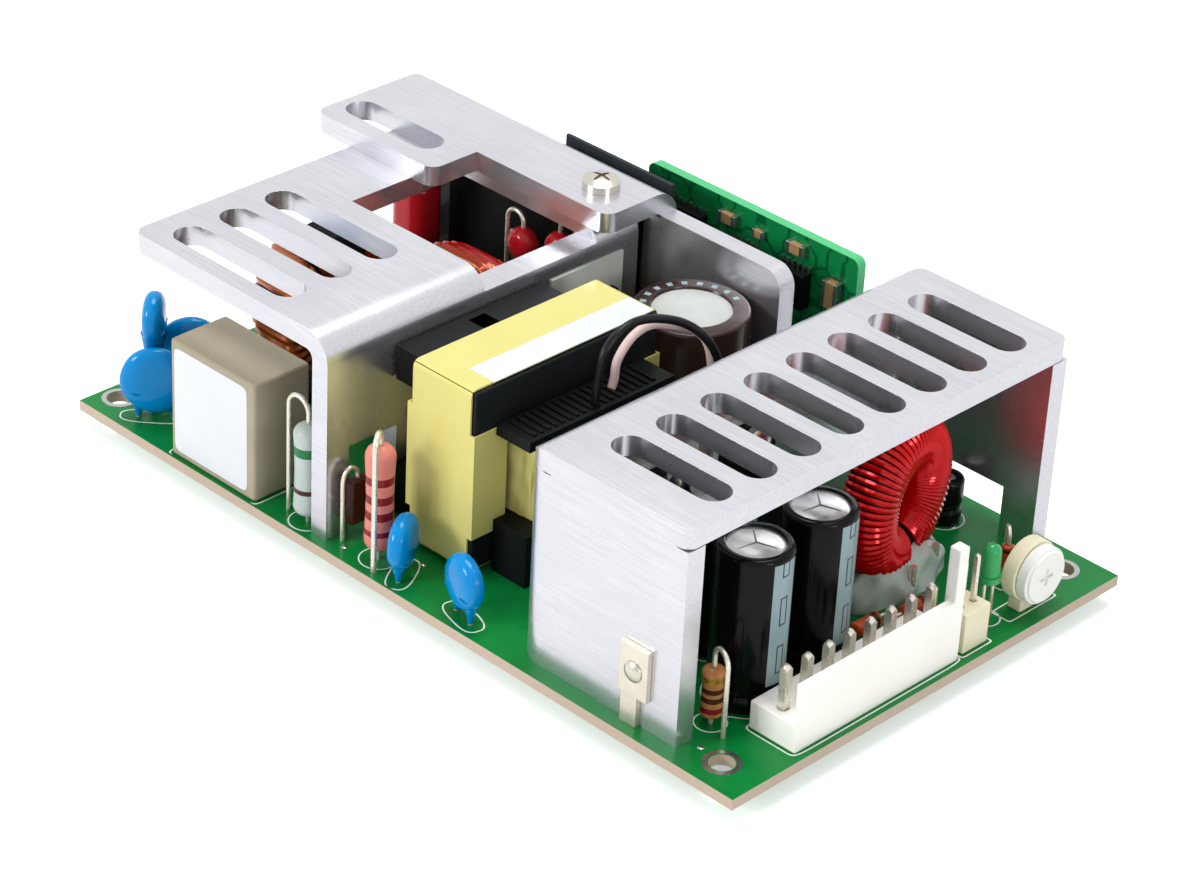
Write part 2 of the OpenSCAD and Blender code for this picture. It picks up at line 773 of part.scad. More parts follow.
module input_header() {
    color([0.93, 0.93, 0.9]) on_board(input_x, input_y, 0) difference() {
        union() {
            cube([header_depth, input_length, header_base_h]);
            cube([header_wall_t, input_length, header_wall_h]);
        }
        for (i = [0 : input_pins - 1])
            translate([header_depth / 2 - header_pin_w / 2 - fit_gap,
                       header_end + i * header_pitch - header_pin_w / 2 - fit_gap, -1])
                cube([header_pin_w + 2 * fit_gap, header_pin_w + 2 * fit_gap, header_base_h + 2]);
    }
}

module input_fuse() {
    color([0.45, 0.3, 0.2]) on_board(fuse_x, fuse_y, seat_gap) {
        cylinder(r = fuse_r, h = fuse_h - 0.5);
        cylinder(r = fuse_r - 0.5, h = fuse_h);
    }
}

module box_capacitor() {
    r = 0.6;
    color([0.62, 0.58, 0.5]) on_board(box_capacitor_x, box_capacitor_y, 0)
        linear_extrude(height = box_capacitor_h) round_rect(box_capacitor_w, box_capacitor_d, r);
}

module disc_capacitor(d, t, lift) {
    round_disc(d, t);
    for (s = [-1, 1])
        translate([s * d * disc_pitch_share / 2, 0, -lift + 1.2])
            cylinder(r1 = 0.5, r2 = 1.1, h = lift - d / 4 - 1.2);
}

module disc_capacitors() {
    color([0.02, 0.52, 0.75])
        for (p = disc_places)
            on_board(p[0], p[1], p[2]) rotate([0, 0, p[3]]) disc_capacitor(p[4], disc_capacitor_t, p[2]);
}

// Leads of the parts at the input end
module input_leads() {
    top = power_resistor_l + 2.2;
    color([0.78, 0.76, 0.7]) {
        for (p = disc_places)
            on_board(p[0], p[1], 0) rotate([0, 0, p[3]])
                for (s = [-1, 1])
                    translate([s * p[4] * disc_pitch_share / 2, 0, 0]) cylinder(r = lead_r, h = 1.2);
        hooked_lead(power_resistor_x, power_resistor_y, resistor_lead_step[0], resistor_lead_step[1],
            top, power_resistor_l + 1.5, lead_r + 0.05);
        post(power_resistor_x, power_resistor_y, 0, 1.5, lead_r);
        hooked_lead(limiter_x, limiter_y, -4, 0, limiter_h + 1.2, limiter_h, lead_r);
        post(limiter_x, limiter_y, 0, 1, lead_r);
        for (p = dipped_places) {
            post(p[0], p[1], 0, p[2] - dipped_r, lead_r);
            hooked_lead(p[0], p[1], p[3], 0, p[2] + dipped_r + 0.6, p[2] + dipped_r, lead_r);
        }
        for (s = [-1, 1])
            post(film_x + film_w / 2 + s * film_lead_pitch / 2, film_y + film_d / 2, 0, film_lift, lead_r);
        for (s = [-1, 1])
            post(fuse_x, fuse_y + s * 2.5, 0, seat_gap, lead_r);
    }
}

// One turn of wire round a choke's core, at an angle round its axis
module choke_turn(angle, mid_r, half_w, half_t, wire_r) {
    r = 1;
    rotate([angle, 0, 0]) translate([0, 0, mid_r]) {
        for (s = [-1, 1]) {
            translate([0, 0, s * (half_t + wire_r)]) rotate([0, 90, 0])
                translate([0, 0, -half_w + r]) cylinder(r = wire_r, h = 2 * half_w - 2 * r);
            translate([s * (half_w + wire_r), 0, -half_t + r]) cylinder(r = wire_r, h = 2 * half_t - 2 * r);
        }
        for (q = [[1, 1, 0], [-1, 1, 90], [-1, -1, 180], [1, -1, 270]])
            translate([q[0] * (half_w - r), 0, q[1] * (half_t - r)]) rotate([90, 0, 0])
                rotate([0, 0, q[2]]) rotate_extrude(angle = 90)
                    translate([r + wire_r, 0]) circle(wire_r);
    }
}

// Ring core with its axis along X and chamfered edges
module ring_core(od, id, w) {
    c = 0.6;
    rotate([0, 90, 0]) rotate_extrude() polygon([
        [id / 2 + c, -w / 2], [od / 2 - c, -w / 2], [od / 2, -w / 2 + c], [od / 2, w / 2 - c],
        [od / 2 - c, w / 2], [id / 2 + c, w / 2], [id / 2, w / 2 - c], [id / 2, -w / 2 + c]
    ]);
}

module line_choke_core() {
    color([0.18, 0.18, 0.19]) on_board(line_choke_x, line_choke_y, line_centre_z)
        ring_core(line_core_od, line_core_id, line_core_w);
}

module line_choke_windings() {
    half_t = line_section / 2 + fit_gap;
    half_w = line_core_w / 2 + fit_gap;
    step = 15;
    color([0.72, 0.42, 0.15]) on_board(line_choke_x, line_choke_y, line_centre_z)
        for (s = [-1, 1])
            for (i = [0 : line_turns - 1])
                choke_turn(s * (30 + i * step), line_mid_r, half_w, half_t, line_wire_r);
}

// Choke base: a plate with a cradle for the ring between its turns
module choke_base(w, length, cradle_w, centre_z, od) {
    difference() {
        union() {
            translate([-w / 2, -length / 2, 0]) cube([w, length, choke_base_h]);
            translate([-cradle_w / 2, -cradle_t / 2, 0])
                cube([cradle_w, cradle_t, centre_z - od / 2 + 1]);
        }
        translate([-w, 0, centre_z]) rotate([0, 90, 0]) cylinder(d = od + 2 * fit_gap, h = 2 * w);
    }
}

module line_choke_base() {
    color([0.2, 0.2, 0.2]) on_board(line_choke_x, line_choke_y, 0)
        choke_base(line_core_w + 3, choke_base_length, line_core_w - 1.4, line_centre_z, line_core_od);
}

module boost_choke_core() {
    color([0.55, 0.5, 0.2]) on_board(boost_choke_x, boost_choke_y, boost_centre_z)
        ring_core(boost_core_od, boost_core_id, boost_core_w);
}

module boost_choke_winding() {
    half_t = boost_section / 2 + fit_gap;
    half_w = boost_core_w / 2 + fit_gap;
    color([0.72, 0.14, 0.08]) on_board(boost_choke_x, boost_choke_y, boost_centre_z)
        for (i = [0 : boost_turns - 1])
            choke_turn(180 + (i + 0.5) * 360 / boost_turns, boost_mid_r, half_w, half_t, boost_wire_r);
}

module boost_choke_base() {
    color([0.2, 0.2, 0.2]) on_board(boost_choke_x, boost_choke_y, 0)
        choke_base(boost_core_w + 1.4, choke_base_length, boost_core_w - 1.4, boost_centre_z,
            boost_core_od);
}

// Moulded bridge, flat against the rear heatsink's wall
module bridge_rectifier() {
    c = 2.4;
    color([0.12, 0.12, 0.13]) {
        on_board(bridge_x, rear_wall_in - pad_t, device_z) rotate([90, 0, 0]) difference() {
            linear_extrude(height = bridge_t) polygon([
                [-bridge_w / 2, 0], [bridge_w / 2, 0], [bridge_w / 2, bridge_h],
                [-bridge_w / 2 + c, bridge_h], [-bridge_w / 2, bridge_h - c]
            ]);
            translate([0, device_hole_z, -1]) cylinder(r = screw_r + fit_gap, h = bridge_t + 2);
        }
        for (i = [0 : 3])
            post(bridge_x + (i - 1.5) * bridge_lead_pitch, rear_wall_in - pad_t - bridge_t / 2, 0,
                device_z + eps, 0.5);
    }
}

module film_capacitor() {
    r = 2.6;
    color([0.62, 0.08, 0.1]) on_board(film_x, film_y, film_lift)
        linear_extrude(height = film_h - film_lift) round_rect(film_w, film_d, r);
}

module dipped_capacitors() {
    color([0.5, 0.08, 0.1])
        for (p = dipped_places)
            on_board(p[0], p[1], p[2]) round_disc(2 * dipped_r, dipped_t);
}

module inrush_limiter() {
    color([0.68, 0.72, 0.7]) on_board(limiter_x, limiter_y, 1) {
        cylinder(r = limiter_r, h = limiter_h - 1 - limiter_r);
        intersection() {
            translate([0, 0, limiter_h - 1 - limiter_r]) sphere(r = limiter_r);
            cylinder(r = limiter_r + 1, h = limiter_h - 1);
        }
    }
}

// Standing wire-wound resistor with rounded ends
module resistor_body(r, length) {
    e = r * 0.35;
    rotate_extrude() {
        translate([0, 0]) square([r - e, length]);
        translate([0, e]) square([r, length - 2 * e]);
        for (z = [e, length - e])
            translate([r - e, z]) circle(e);
    }
}

module power_resistor() {
    color([0.85, 0.48, 0.42]) on_board(power_resistor_x, power_resistor_y, 1.5)
        resistor_body(power_resistor_d / 2, power_resistor_l);
}

// Device case with a metal tab and three legs, its back on the YZ plane, body to +X
module device_case() {
    difference() {
        union() {
            translate([0, -device_w / 2, 0]) cube([device_t, device_w, device_body_h]);
            translate([0, -device_w / 2, 0]) cube([device_tab_t, device_w, device_h]);
        }
        translate([-1, 0, device_hole_z]) rotate([0, 90, 0])
            cylinder(r = screw_r + fit_gap, h = device_t + 2);
    }
    for (y = [-2.54, 0, 2.54])
        translate([2.25, y - 0.4, -device_z]) cube([0.7, 0.8, device_z + eps]);
}

module power_transistors() {
    color([0.13, 0.13, 0.14]) {
        for (y = primary_device_y)
            on_board(primary_wall_in - pad_t, y, device_z) mirror([1, 0, 0]) device_case();
        on_board(primary_wall_x + pad_t, outer_device_y, device_z) device_case();
    }
}

module output_rectifiers() {
    color([0.13, 0.13, 0.14])
        for (y = output_device_y)
            on_board(output_rear_x + sheet + pad_t, y, device_z) device_case();
}

// Thin insulating pads behind the power devices
module pad_shape(w, h) {
    difference() {
        translate([0, -w / 2, -1]) cube([pad_t, w, h]);
        translate([-1, 0, device_hole_z]) rotate([0, 90, 0])
            cylinder(r = screw_r + fit_gap, h = pad_t + 2);
    }
}

module insulating_pads() {
    color([0.75, 0.72, 0.66]) {
        for (y = primary_device_y)
            on_board(primary_wall_in - pad_t, y, device_z) pad_shape(device_w + 2, device_h + 2);
        on_board(primary_wall_x, outer_device_y, device_z) pad_shape(outer_pad_w, outer_pad_h);
        for (y = output_device_y)
            on_board(output_rear_x + sheet, y, device_z) pad_shape(device_w + 2, device_h + 2);
        on_board(bridge_x, rear_wall_in, device_z) rotate([0, 0, -90])
            pad_shape(bridge_w + 2, bridge_h + 2);
    }
}

// ---------------------------------------------------------------- transformer

module transformer_core() {
    color([0.12, 0.13, 0.14])
        on_board(transformer_x - core_depth / 2, core_front_y, core_z) difference() {
            cube([core_depth, core_width, core_height]);
            for (y = [core_leg, core_leg + window_y + centre_leg])
                translate([-1, y, core_leg]) cube([core_depth + 2, window_y, window_z]);
        }
}

// Rectangular ring standing on the board, centred on the coil's axis
module coil_ring(half_x, half_y, r, low, high, hole_x, hole_y) {
    on_board(transformer_x, core_mid_y, low) linear_extrude(height = high - low) difference() {
        translate([-half_x, -half_y]) round_rect(2 * half_x, 2 * half_y, r);
        square([2 * hole_x, 2 * hole_y], center = true);
    }
}

module transformer_bobbin() {
    hole_x = core_depth / 2 + fit_gap;
    hole_y = centre_leg / 2 + fit_gap;
    low = window_low_z + fit_gap;
    high = window_high_z - fit_gap;
    side = core_depth / 2 + tape_t + 2 * fit_gap;
    out = winding_half_x + 0.2;
    half_y = core_width / 2 - 3.4;
    notch = 1.5;
    foot_notch = 3;
    color([0.1, 0.1, 0.11]) {
        coil_ring(hole_x + bobbin_wall, hole_y + bobbin_wall, 0.4, low, high, hole_x, hole_y);
        for (z = [low, high - bobbin_wall])
            coil_ring(out, winding_half_y + fit_gap, 0.6, z, z + bobbin_wall, hole_x, hole_y);
        for (s = [-1, 1])
            on_board(transformer_x + (s > 0 ? side : -out), core_mid_y - half_y, 0) difference() {
                cube([out - side, 2 * half_y, low + bobbin_wall]);
                translate([-1, half_y - foot_notch, -1]) cube([out, 2 * foot_notch, low]);
            }
        on_board(transformer_x - out, core_mid_y - half_y, high - bobbin_wall) difference() {
            cube([out - side, 2 * half_y, bobbin_block_top - high + bobbin_wall]);
            translate([1.2, half_y - notch, bobbin_wall + 1]) cube([out, 2 * notch, 10]);
        }
        on_board(transformer_x + side, core_mid_y - half_y, high - bobbin_wall)
            cube([out - side, 2 * half_y, 1.6]);
    }
}

module transformer_winding() {
    hole_x = core_depth / 2 + 2 * fit_gap + bobbin_wall;
    hole_y = centre_leg / 2 + 2 * fit_gap + bobbin_wall;
    low = window_low_z + 2 * fit_gap + bobbin_wall;
    high = window_high_z - 2 * fit_gap - bobbin_wall;
    color([0.93, 0.88, 0.45])
        coil_ring(winding_half_x, winding_half_y, 2.4, low, high, hole_x, hole_y);
}

// Tape: a band over the core's ends, and a wrap on each outer leg
module transformer_tape() {
    band = tape_width;
    wrap_x = core_depth / 2 + fit_gap;
    low = window_low_z - 1;
    wrap_h = window_high_z - low;
    r = 1.1;
    color([0.95, 0.9, 0.5]) {
        on_board(transformer_x - band / 2, core_front_y - tape_t - fit_gap, core_z - tape_t - fit_gap)
            rotate([90, 0, 90]) linear_extrude(height = band) difference() {
                round_rect(core_width + 2 * (tape_t + fit_gap), core_height + 2 * (tape_t + fit_gap), r);
                translate([tape_t, tape_t])
                    square([core_width + 2 * fit_gap, core_height + 2 * fit_gap]);
            }
        for (s = [0, 1])
            on_board(transformer_x, s ? core_back_y : core_front_y, low) mirror([0, s, 0]) {
                translate([-wrap_x - tape_t, -tape_t - fit_gap, 0])
                    cube([2 * (wrap_x + tape_t), tape_t, wrap_h]);
                for (t = [-1, 1])
                    translate([t > 0 ? wrap_x : -wrap_x - tape_t, -tape_t - fit_gap, 0])
                        cube([tape_t, core_leg - fit_gap, wrap_h]);
            }
    }
}

module flying_lead_pale() {
    color([0.85, 0.7, 0.68]) on_board() tube(smooth_route(pale_lead_route, 3), flying_lead_r);
}

module flying_lead_dark() {
    color([0.08, 0.08, 0.09]) on_board() tube(smooth_route(dark_lead_route, 3), flying_lead_r);
}

// ---------------------------------------------------------------- capacitors

// Aluminium can with a pressure vent scored into its top
module can(r, h, vents) {
    e = 0.6;
    difference() {
        rotate_extrude() {
            square([r - e, h]);
            square([r, h - e]);
            translate([r - e, h - e]) circle(e);
        }
        for (a = vents)
            rotate([0, 0, a]) translate([0, -0.15, h - 0.3]) cube([r * 0.72, 0.3, 1]);
    }
}

// Shrunk sleeve: a tube that turns over the can at both ends
module sleeve(r, h, lip) {
    rotate_extrude() difference() {
        square([r, h]);
        translate([-1, sleeve_t]) square([r - sleeve_t + 1, h - 2 * sleeve_t]);
        translate([-1, -1]) square([lip + 1, h + 2]);
    }
}

module bulk_capacitor_can() {
    color([0.82, 0.82, 0.8]) on_board(bulk_x, bulk_y, sleeve_t + fit_gap)
        can(bulk_d / 2 - sleeve_t - fit_gap, bulk_h - 2 * sleeve_t - 2 * fit_gap, [40, 160, 280]);
}

module bulk_capacitor_sleeve() {
    color([0.3, 0.2, 0.17]) on_board(bulk_x, bulk_y, 0)
        sleeve(bulk_d / 2, bulk_h, bulk_d / 2 - 2);
}

module output_capacitor_cans() {
    color([0.84, 0.84, 0.83])
        for (p = output_capacitor_places)
            on_board(p[0], p[1], sleeve_t + fit_gap)
                can(output_capacitor_d / 2 - sleeve_t - fit_gap,
                    output_capacitor_h - 2 * sleeve_t - 2 * fit_gap, [20, 140, 260]);
}

module output_capacitor_sleeves() {
    color([0.07, 0.07, 0.08])
        for (p = output_capacitor_places)
            on_board(p[0], p[1], 0)
                sleeve(output_capacitor_d / 2, output_capacitor_h, output_capacitor_d / 2 - 0.9);
}

module rear_capacitor() {
    color([0.08, 0.08, 0.09]) on_board(rear_capacitor_x, rear_capacitor_y, 0)
        can(rear_capacitor_r, rear_capacitor_h, [0, 90, 180, 270]);
}

// ---------------------------------------------------------------- rear boards

module insulating_sheet() {
    color([0.16, 0.18, 0.2]) on_board(insulator_x, rear_wall_y + insulator_gap, 0)
        cube([insulator_length, insulator_t, insulator_top]);
}

module control_board() {
    color([0.03, 0.5, 0.22]) on_board(control_x, control_y + control_t, control_z)
        rotate([90, 0, 0]) linear_extrude(height = control_t)
            round_rect(control_length, control_height, 1.2);
}

module control_board_parts() {
    color([0.1, 0.1, 0.11])
        for (p = control_parts)
            on_board(control_x + p[0], control_y - p[4], control_z + p[1] - 0.6)
                cube([p[2], p[4], p[3]]);
}

// Bent pins that carry the control board
module control_board_pins() {
    w = 0.6;
    rise = 4;
    color([0.75, 0.73, 0.66])
        for (i = [0 : control_pin_count - 1])
            on_board(control_x + control_pin_inset + i * control_pin_pitch - w / 2, control_y - w, 0)
                cube([w, w, rise + control_z]);
}

// ---------------------------------------------------------------- output parts

module output_choke_place() {
    on_board(output_choke_x, output_choke_y, output_choke_z)
        rotate([0, 0, output_choke_turn]) children();
}

module output_choke_core() {
    color([0.2, 0.22, 0.24]) output_choke_place() rotate([0, 90, 0])
        rotate_extrude() translate([output_choke_r, 0]) circle(output_core_r);
}

// Wound ring: a tube of wire ridges round the core, open at the bottom where
// the two ends leave. Each turn is one ridge.
module output_choke_winding() {
    sweep = 360 - choke_open_angle;
    steps = output_choke_turns * ring_steps;
    inner = output_core_r + fit_gap;
    points = [
        for (i = [0 : steps])
            let (a = 180 + choke_open_angle / 2 + sweep * i / steps,
                 crest = abs(sin(180 * i / ring_steps)),
                 outer = output_choke_t / 2 - output_wire_r + output_wire_r * crest)
            for (r = [outer, inner])
                for (k = [0 : tube_points - 1])
                    let (b = 360 * (k + 0.5) / tube_points,
                         m = output_choke_r + r * cos(b) / cos(180 / tube_points))
                    [r * sin(b) / cos(180 / tube_points), m * sin(a), m * cos(a)]
    ];
    ring = 2 * tube_points;
    faces = concat(
        [for (i = [0 : steps - 1])
            for (k = [0 : tube_points - 1])
                let (n = (k + 1) % tube_points)
                [i * ring + k, i * ring + n, (i + 1) * ring + n, (i + 1) * ring + k]],
        [for (i = [0 : steps - 1])
            for (k = [0 : tube_points - 1])
                let (n = (k + 1) % tube_points, o = tube_points)
                [i * ring + o + k, (i + 1) * ring + o + k, (i + 1) * ring + o + n, i * ring + o + n]],
        [for (k = [0 : tube_points - 1])
            let (n = (k + 1) % tube_points, o = tube_points)
            [k, o + k, o + n, n]],
        [for (k = [0 : tube_points - 1])
            let (n = (k + 1) % tube_points, o = tube_points, e = steps * ring)
            [e + k, e + n, e + o + n, e + o + k]]
    );
    color([0.75, 0.05, 0.06]) output_choke_place()
        polyhedron(points = points, faces = faces, convexity = 10);
}

module output_choke_leads() {
    color([0.78, 0.76, 0.7]) output_choke_place()
        for (s = [-1, 1])
            translate([5.2, s * 3.4, -output_choke_z]) cylinder(r = 0.5, h = 5);
}

// Pad of clear adhesive that the choke is bedded in
module output_choke_adhesive() {
    pad_r = 6.6;
    pad_h = 4.4;
    color([0.8, 0.82, 0.8, 0.7]) difference() {
        output_choke_place() translate([0, 0, -output_choke_z])
            union() {
                for (y = [-4.2, 4.2])
                    translate([0, y, 0]) cylinder(r = pad_r, h = pad_h);
                translate([-pad_r, -4.2, 0]) cube([2 * pad_r, 8.4, pad_h]);
            }
        output_choke_place() rotate([0, 90, 0]) rotate_extrude()
            translate([output_choke_r, 0]) circle(output_choke_t / 2 / cos(180 / tube_points) + fit_gap);
        output_choke_place() for (s = [-1, 1])
            translate([5.2, s * 3.4, -output_choke_z - 1]) cylinder(r = 0.5 + fit_gap, h = 8);
    }
}

// Header: low base, tall lock wall along the outer side and a post at its end
module output_header() {
    color([0.94, 0.93, 0.89]) on_board(header_x, header_y, 0) difference() {
        union() {
            cube([header_depth, header_length, header_base_h]);
            translate([header_depth - header_wall_t, 0.9, 0])
                cube([header_wall_t, header_length - 0.9, header_wall_h]);
            translate([header_depth - header_post_w, header_length - header_post_w, 0])
                cube([header_post_w, header_post_w, header_post_top]);
        }
        for (i = [0 : header_pins - 1])
            translate([header_pin_x - header_x - header_pin_w / 2 - fit_gap,
                       header_end + i * header_pitch - header_pin_w / 2 - fit_gap, -1])
                cube([header_pin_w + 2 * fit_gap, header_pin_w + 2 * fit_gap, header_base_h + 2]);
    }
}

module signal_header() {
    color([0.92, 0.9, 0.78]) on_board(signal_x, signal_y, 0) difference() {
        cube([signal_w, signal_length, signal_h]);
        for (i = [0, 1])
            translate([signal_w / 2 - signal_pin_w / 2 - fit_gap,
                       1.25 + i * signal_pitch - signal_pin_w / 2 - fit_gap, -1])
                cube([signal_pin_w + 2 * fit_gap, signal_pin_w + 2 * fit_gap, signal_h + 2]);
    }
}

// Square pin with a pointed end
module square_pin(w, h) {
    tip = w * 0.6;
    translate([-w / 2, -w / 2, 0]) cube([w, w, h - tip]);
    translate([0, 0, h - tip]) intersection() {
        translate([-w / 2, -w / 2, 0]) cube([w, w, tip]);
        cylinder(r1 = w * 0.75, r2 = w * 0.25, h = tip);
    }
}

module header_pins_tinned() {
    color([0.82, 0.8, 0.74]) {
        for (i = [0 : header_pins - 1])
            on_board(header_pin_x, header_y + header_end + i * header_pitch, 0)
                square_pin(header_pin_w, header_pin_top);
        for (i = [0 : input_pins - 1])
            on_board(input_x + header_depth / 2, input_y + header_end + i * header_pitch, 0)
                square_pin(header_pin_w, header_pin_top);
        for (i = [0, 1])
            on_board(signal_x + signal_w / 2, signal_y + 1.25 + i * signal_pitch, 0)
                square_pin(signal_pin_w, signal_pin_top);
    }
}

module indicator_lamp() {
    r = lamp_d / 2;
    color([0.2, 0.7, 0.3]) on_board(lamp_x, lamp_y, lamp_z) {
        cylinder(r = r + 0.25, h = 0.9);
        cylinder(r = r, h = lamp_h - r);
        translate([0, 0, lamp_h - r]) intersection() {
            sphere(r = r);
            translate([0, 0, -0.1]) cylinder(r = r + 1, h = r + 1);
        }
    }
}

module glass_diode() {
    color([0.85, 0.3, 0.12]) on_board(glass_x, glass_y, glass_z) resistor_body(glass_r, glass_l);
}

module banded_resistors() {
    color([0.66, 0.46, 0.28])
        on_board(standing_resistor[0], standing_resistor[1], standing_lift)
            resistor_body(small_resistor_r, small_resistor_l);
}

module lying_diodes() {
    color([0.55, 0.16, 0.1])
        for (p = lying_places)
            on_board(output_end_x + p[0], p[1] - p[2] / 2, p[3] + seat_gap) rotate([-90, 0, 0])
                resistor_body(p[3], p[2]);
}

// Leads of the parts at the output end
module output_leads() {
    low = standing_lift + small_resistor_l;
    color([0.8, 0.78, 0.72]) {
        hooked_lead(standing_resistor[0], standing_resistor[1], 3.3, -1.2, low + 1.6, low, lead_r);
        post(standing_resistor[0], standing_resistor[1], 0, standing_lift, lead_r);
        for (s = [-1, 1])
            post(lamp_x, lamp_y + s * lamp_lead_pitch / 2, 0, lamp_z, thin_lead_r);
        hooked_lead(glass_x, glass_y, -1.6, 1.6, glass_z + glass_l + 0.8, glass_z + glass_l, thin_lead_r);
        post(glass_x, glass_y, 0, glass_z, thin_lead_r);
        for (p = lying_places)
            for (s = [-1, 1])
                on_board(output_end_x + p[0], p[1] + s * (p[2] / 2 + 1), 0) {
                    cylinder(r = thin_lead_r, h = p[3] + seat_gap);
                    translate([0, 0, p[3] + seat_gap]) sphere(r = thin_lead_r);
                    translate([0, 0, p[3] + seat_gap]) rotate([s * 90, 0, 0])
                        cylinder(r = thin_lead_r, h = 1);
                }
    }
}

// Trimmer body: a back plate with a bearing bore and a foot on the board
module trimmer_body() {
    back_x = trimmer_x - trimmer_t - fit_gap;
    r = trimmer_d / 2 + 0.3;
    foot = 4.4;
    color([0.88, 0.85, 0.74]) difference() {
        union() {
            on_board(back_x - trimmer_body_t, trimmer_y, trimmer_z) rotate([0, 90, 0])
                cylinder(r = r, h = trimmer_body_t);
            on_board(back_x - trimmer_body_t, trimmer_y - foot / 2, 0)
                cube([trimmer_body_t, foot, trimmer_z]);
        }
        on_board(back_x - trimmer_body_t - 1, trimmer_y, trimmer_z) rotate([0, 90, 0])
            cylinder(r = trimmer_shaft_r + trimmer_clearance, h = trimmer_body_t + 2);
    }
}

// Disc that turns to set the output voltage, with a cross slot
module trimmer_disc() {
    slot = 0.5;
    depth = 0.5;
    reach = 1.3;
    color([0.95, 0.95, 0.92]) on_board(trimmer_x - trimmer_t, trimmer_y, trimmer_z)
        rotate([0, 90, 0]) difference() {
            union() {
                cylinder(d = trimmer_d, h = trimmer_t - 0.4);
                cylinder(d = trimmer_d - 0.8, h = trimmer_t);
                translate([0, 0, -trimmer_body_t + 0.3])
                    cylinder(r = trimmer_shaft_r, h = trimmer_body_t);
            }
            for (a = [0, 90])
                rotate([0, 0, a]) translate([-reach, -slot / 2, trimmer_t - depth])
                    cube([2 * reach, slot, 2]);
        }
}

main_board();
heatsink_primary();
heatsink_rear();
heatsink_output();
heatsink_pins();
heatsink_screws();
ground_lug();
lug_rivet();
input_header();
input_fuse();
box_capacitor();
disc_capacitors();
line_choke_core();
line_choke_windings();
line_choke_base();
bridge_rectifier();
film_capacitor();
boost_choke_core();
boost_choke_winding();
boost_choke_base();
dipped_capacitors();
inrush_limiter();
power_resistor();
power_transistors();
insulating_pads();
transformer_core();
transformer_bobbin();
transformer_winding();
transformer_tape();
flying_lead_pale();
flying_lead_dark();
bulk_capacitor_can();
bulk_capacitor_sleeve();
insulating_sheet();
control_board();
control_board_parts();
control_board_pins();
output_capacitor_cans();
output_capacitor_sleeves();
rear_capacitor();
output_choke_core();
output_choke_winding();
output_choke_leads();
output_choke_adhesive();
output_rectifiers();
output_header();
signal_header();
header_pins_tinned();
indicator_lamp();
glass_diode();
banded_resistors();
lying_diodes();
trimmer_body();
trimmer_disc();
input_leads();
output_leads();
solder_joints();
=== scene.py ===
"""Looks of the open frame power supply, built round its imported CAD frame.

Lengths are millimetres in the frame's own axes; the mesh writer turns them to
metres. Places and sizes come from the CAD nodes' boxes and solids, and the
dataclass fields hold what the nodes don't give: wire sizes, roundings, bands.
"""

from __future__ import annotations

import json
import logging
import math
from dataclasses import dataclass, field
from enum import Enum
from typing import Iterable, Sequence

import bmesh
import bpy
import numpy as np
from mathutils import Matrix, Vector


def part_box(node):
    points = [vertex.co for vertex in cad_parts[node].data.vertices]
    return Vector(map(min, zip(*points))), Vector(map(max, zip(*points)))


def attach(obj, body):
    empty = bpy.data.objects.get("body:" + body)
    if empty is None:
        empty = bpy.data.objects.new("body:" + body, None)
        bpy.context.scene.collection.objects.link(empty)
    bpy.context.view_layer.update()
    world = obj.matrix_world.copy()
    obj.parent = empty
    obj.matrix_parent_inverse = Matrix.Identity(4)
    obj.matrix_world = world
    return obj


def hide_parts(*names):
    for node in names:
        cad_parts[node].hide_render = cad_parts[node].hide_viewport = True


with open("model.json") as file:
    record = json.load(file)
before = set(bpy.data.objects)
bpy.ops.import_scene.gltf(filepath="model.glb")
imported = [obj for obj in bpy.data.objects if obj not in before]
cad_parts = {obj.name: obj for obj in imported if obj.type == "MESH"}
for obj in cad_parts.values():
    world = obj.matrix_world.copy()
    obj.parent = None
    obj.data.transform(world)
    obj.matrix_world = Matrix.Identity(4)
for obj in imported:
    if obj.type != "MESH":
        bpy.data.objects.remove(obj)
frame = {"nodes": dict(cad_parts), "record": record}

LOG = logging.getLogger("power_supply")
MM = 0.001
CHASSIS = "chassis"
TRIMMER = "trimmer"
WIDE_ROUNDING = 0.4  # millimetres past which a rounding needs one more segment to look round
BOARD_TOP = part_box("main_board")[1].z / MM
Array = np.ndarray


class Axis(Enum):
    """The frame's directions, as the place of each in a point."""

    X = 0
    Y = 1
    Z = 2


class Outline(Enum):
    """How a footprint is printed on the board."""

    BOX = "box"
    RING = "ring"


# ------------------------------------------------------------------ colours


def linear(hex_colour: str, alpha: float = 1.0) -> tuple[float, float, float, float]:
    """Turns an sRGB hex colour into linear light.

    Args:
        hex_colour: Six hex digits, with or without a leading hash.
        alpha: Opacity kept as the fourth value.

    Returns:
        Red, green and blue in linear light, and alpha.
    """
    digits = hex_colour.lstrip("#")
    parts = [int(digits[i : i + 2], 16) / 255 for i in (0, 2, 4)]
    r, g, b = (c / 12.92 if c <= 0.04045 else ((c + 0.055) / 1.055) ** 2.4 for c in parts)
    return (r, g, b, alpha)


def add_node(tree: bpy.types.NodeTree, kind: str, settings: dict | None = None,
             links: dict | None = None) -> bpy.types.Node:
    """Adds one shader node with its settings and its incoming links.

    Args:
        tree: The node tree that gets the node.
        kind: The node's type name.
        settings: Attribute names, or input sockets by name or number, and values.
        links: Input sockets by name or number, and the output sockets they read.

    Returns:
        The new node.
    """
    node = tree.nodes.new(kind)
    for key, value in (settings or {}).items():
        if isinstance(key, str) and hasattr(node, key):
            setattr(node, key, value)
        else:
            node.inputs[key].default_value = value
    for key, socket in (links or {}).items():
        tree.links.new(socket, node.inputs[key])
    return node


# ------------------------------------------------------------------ finishes


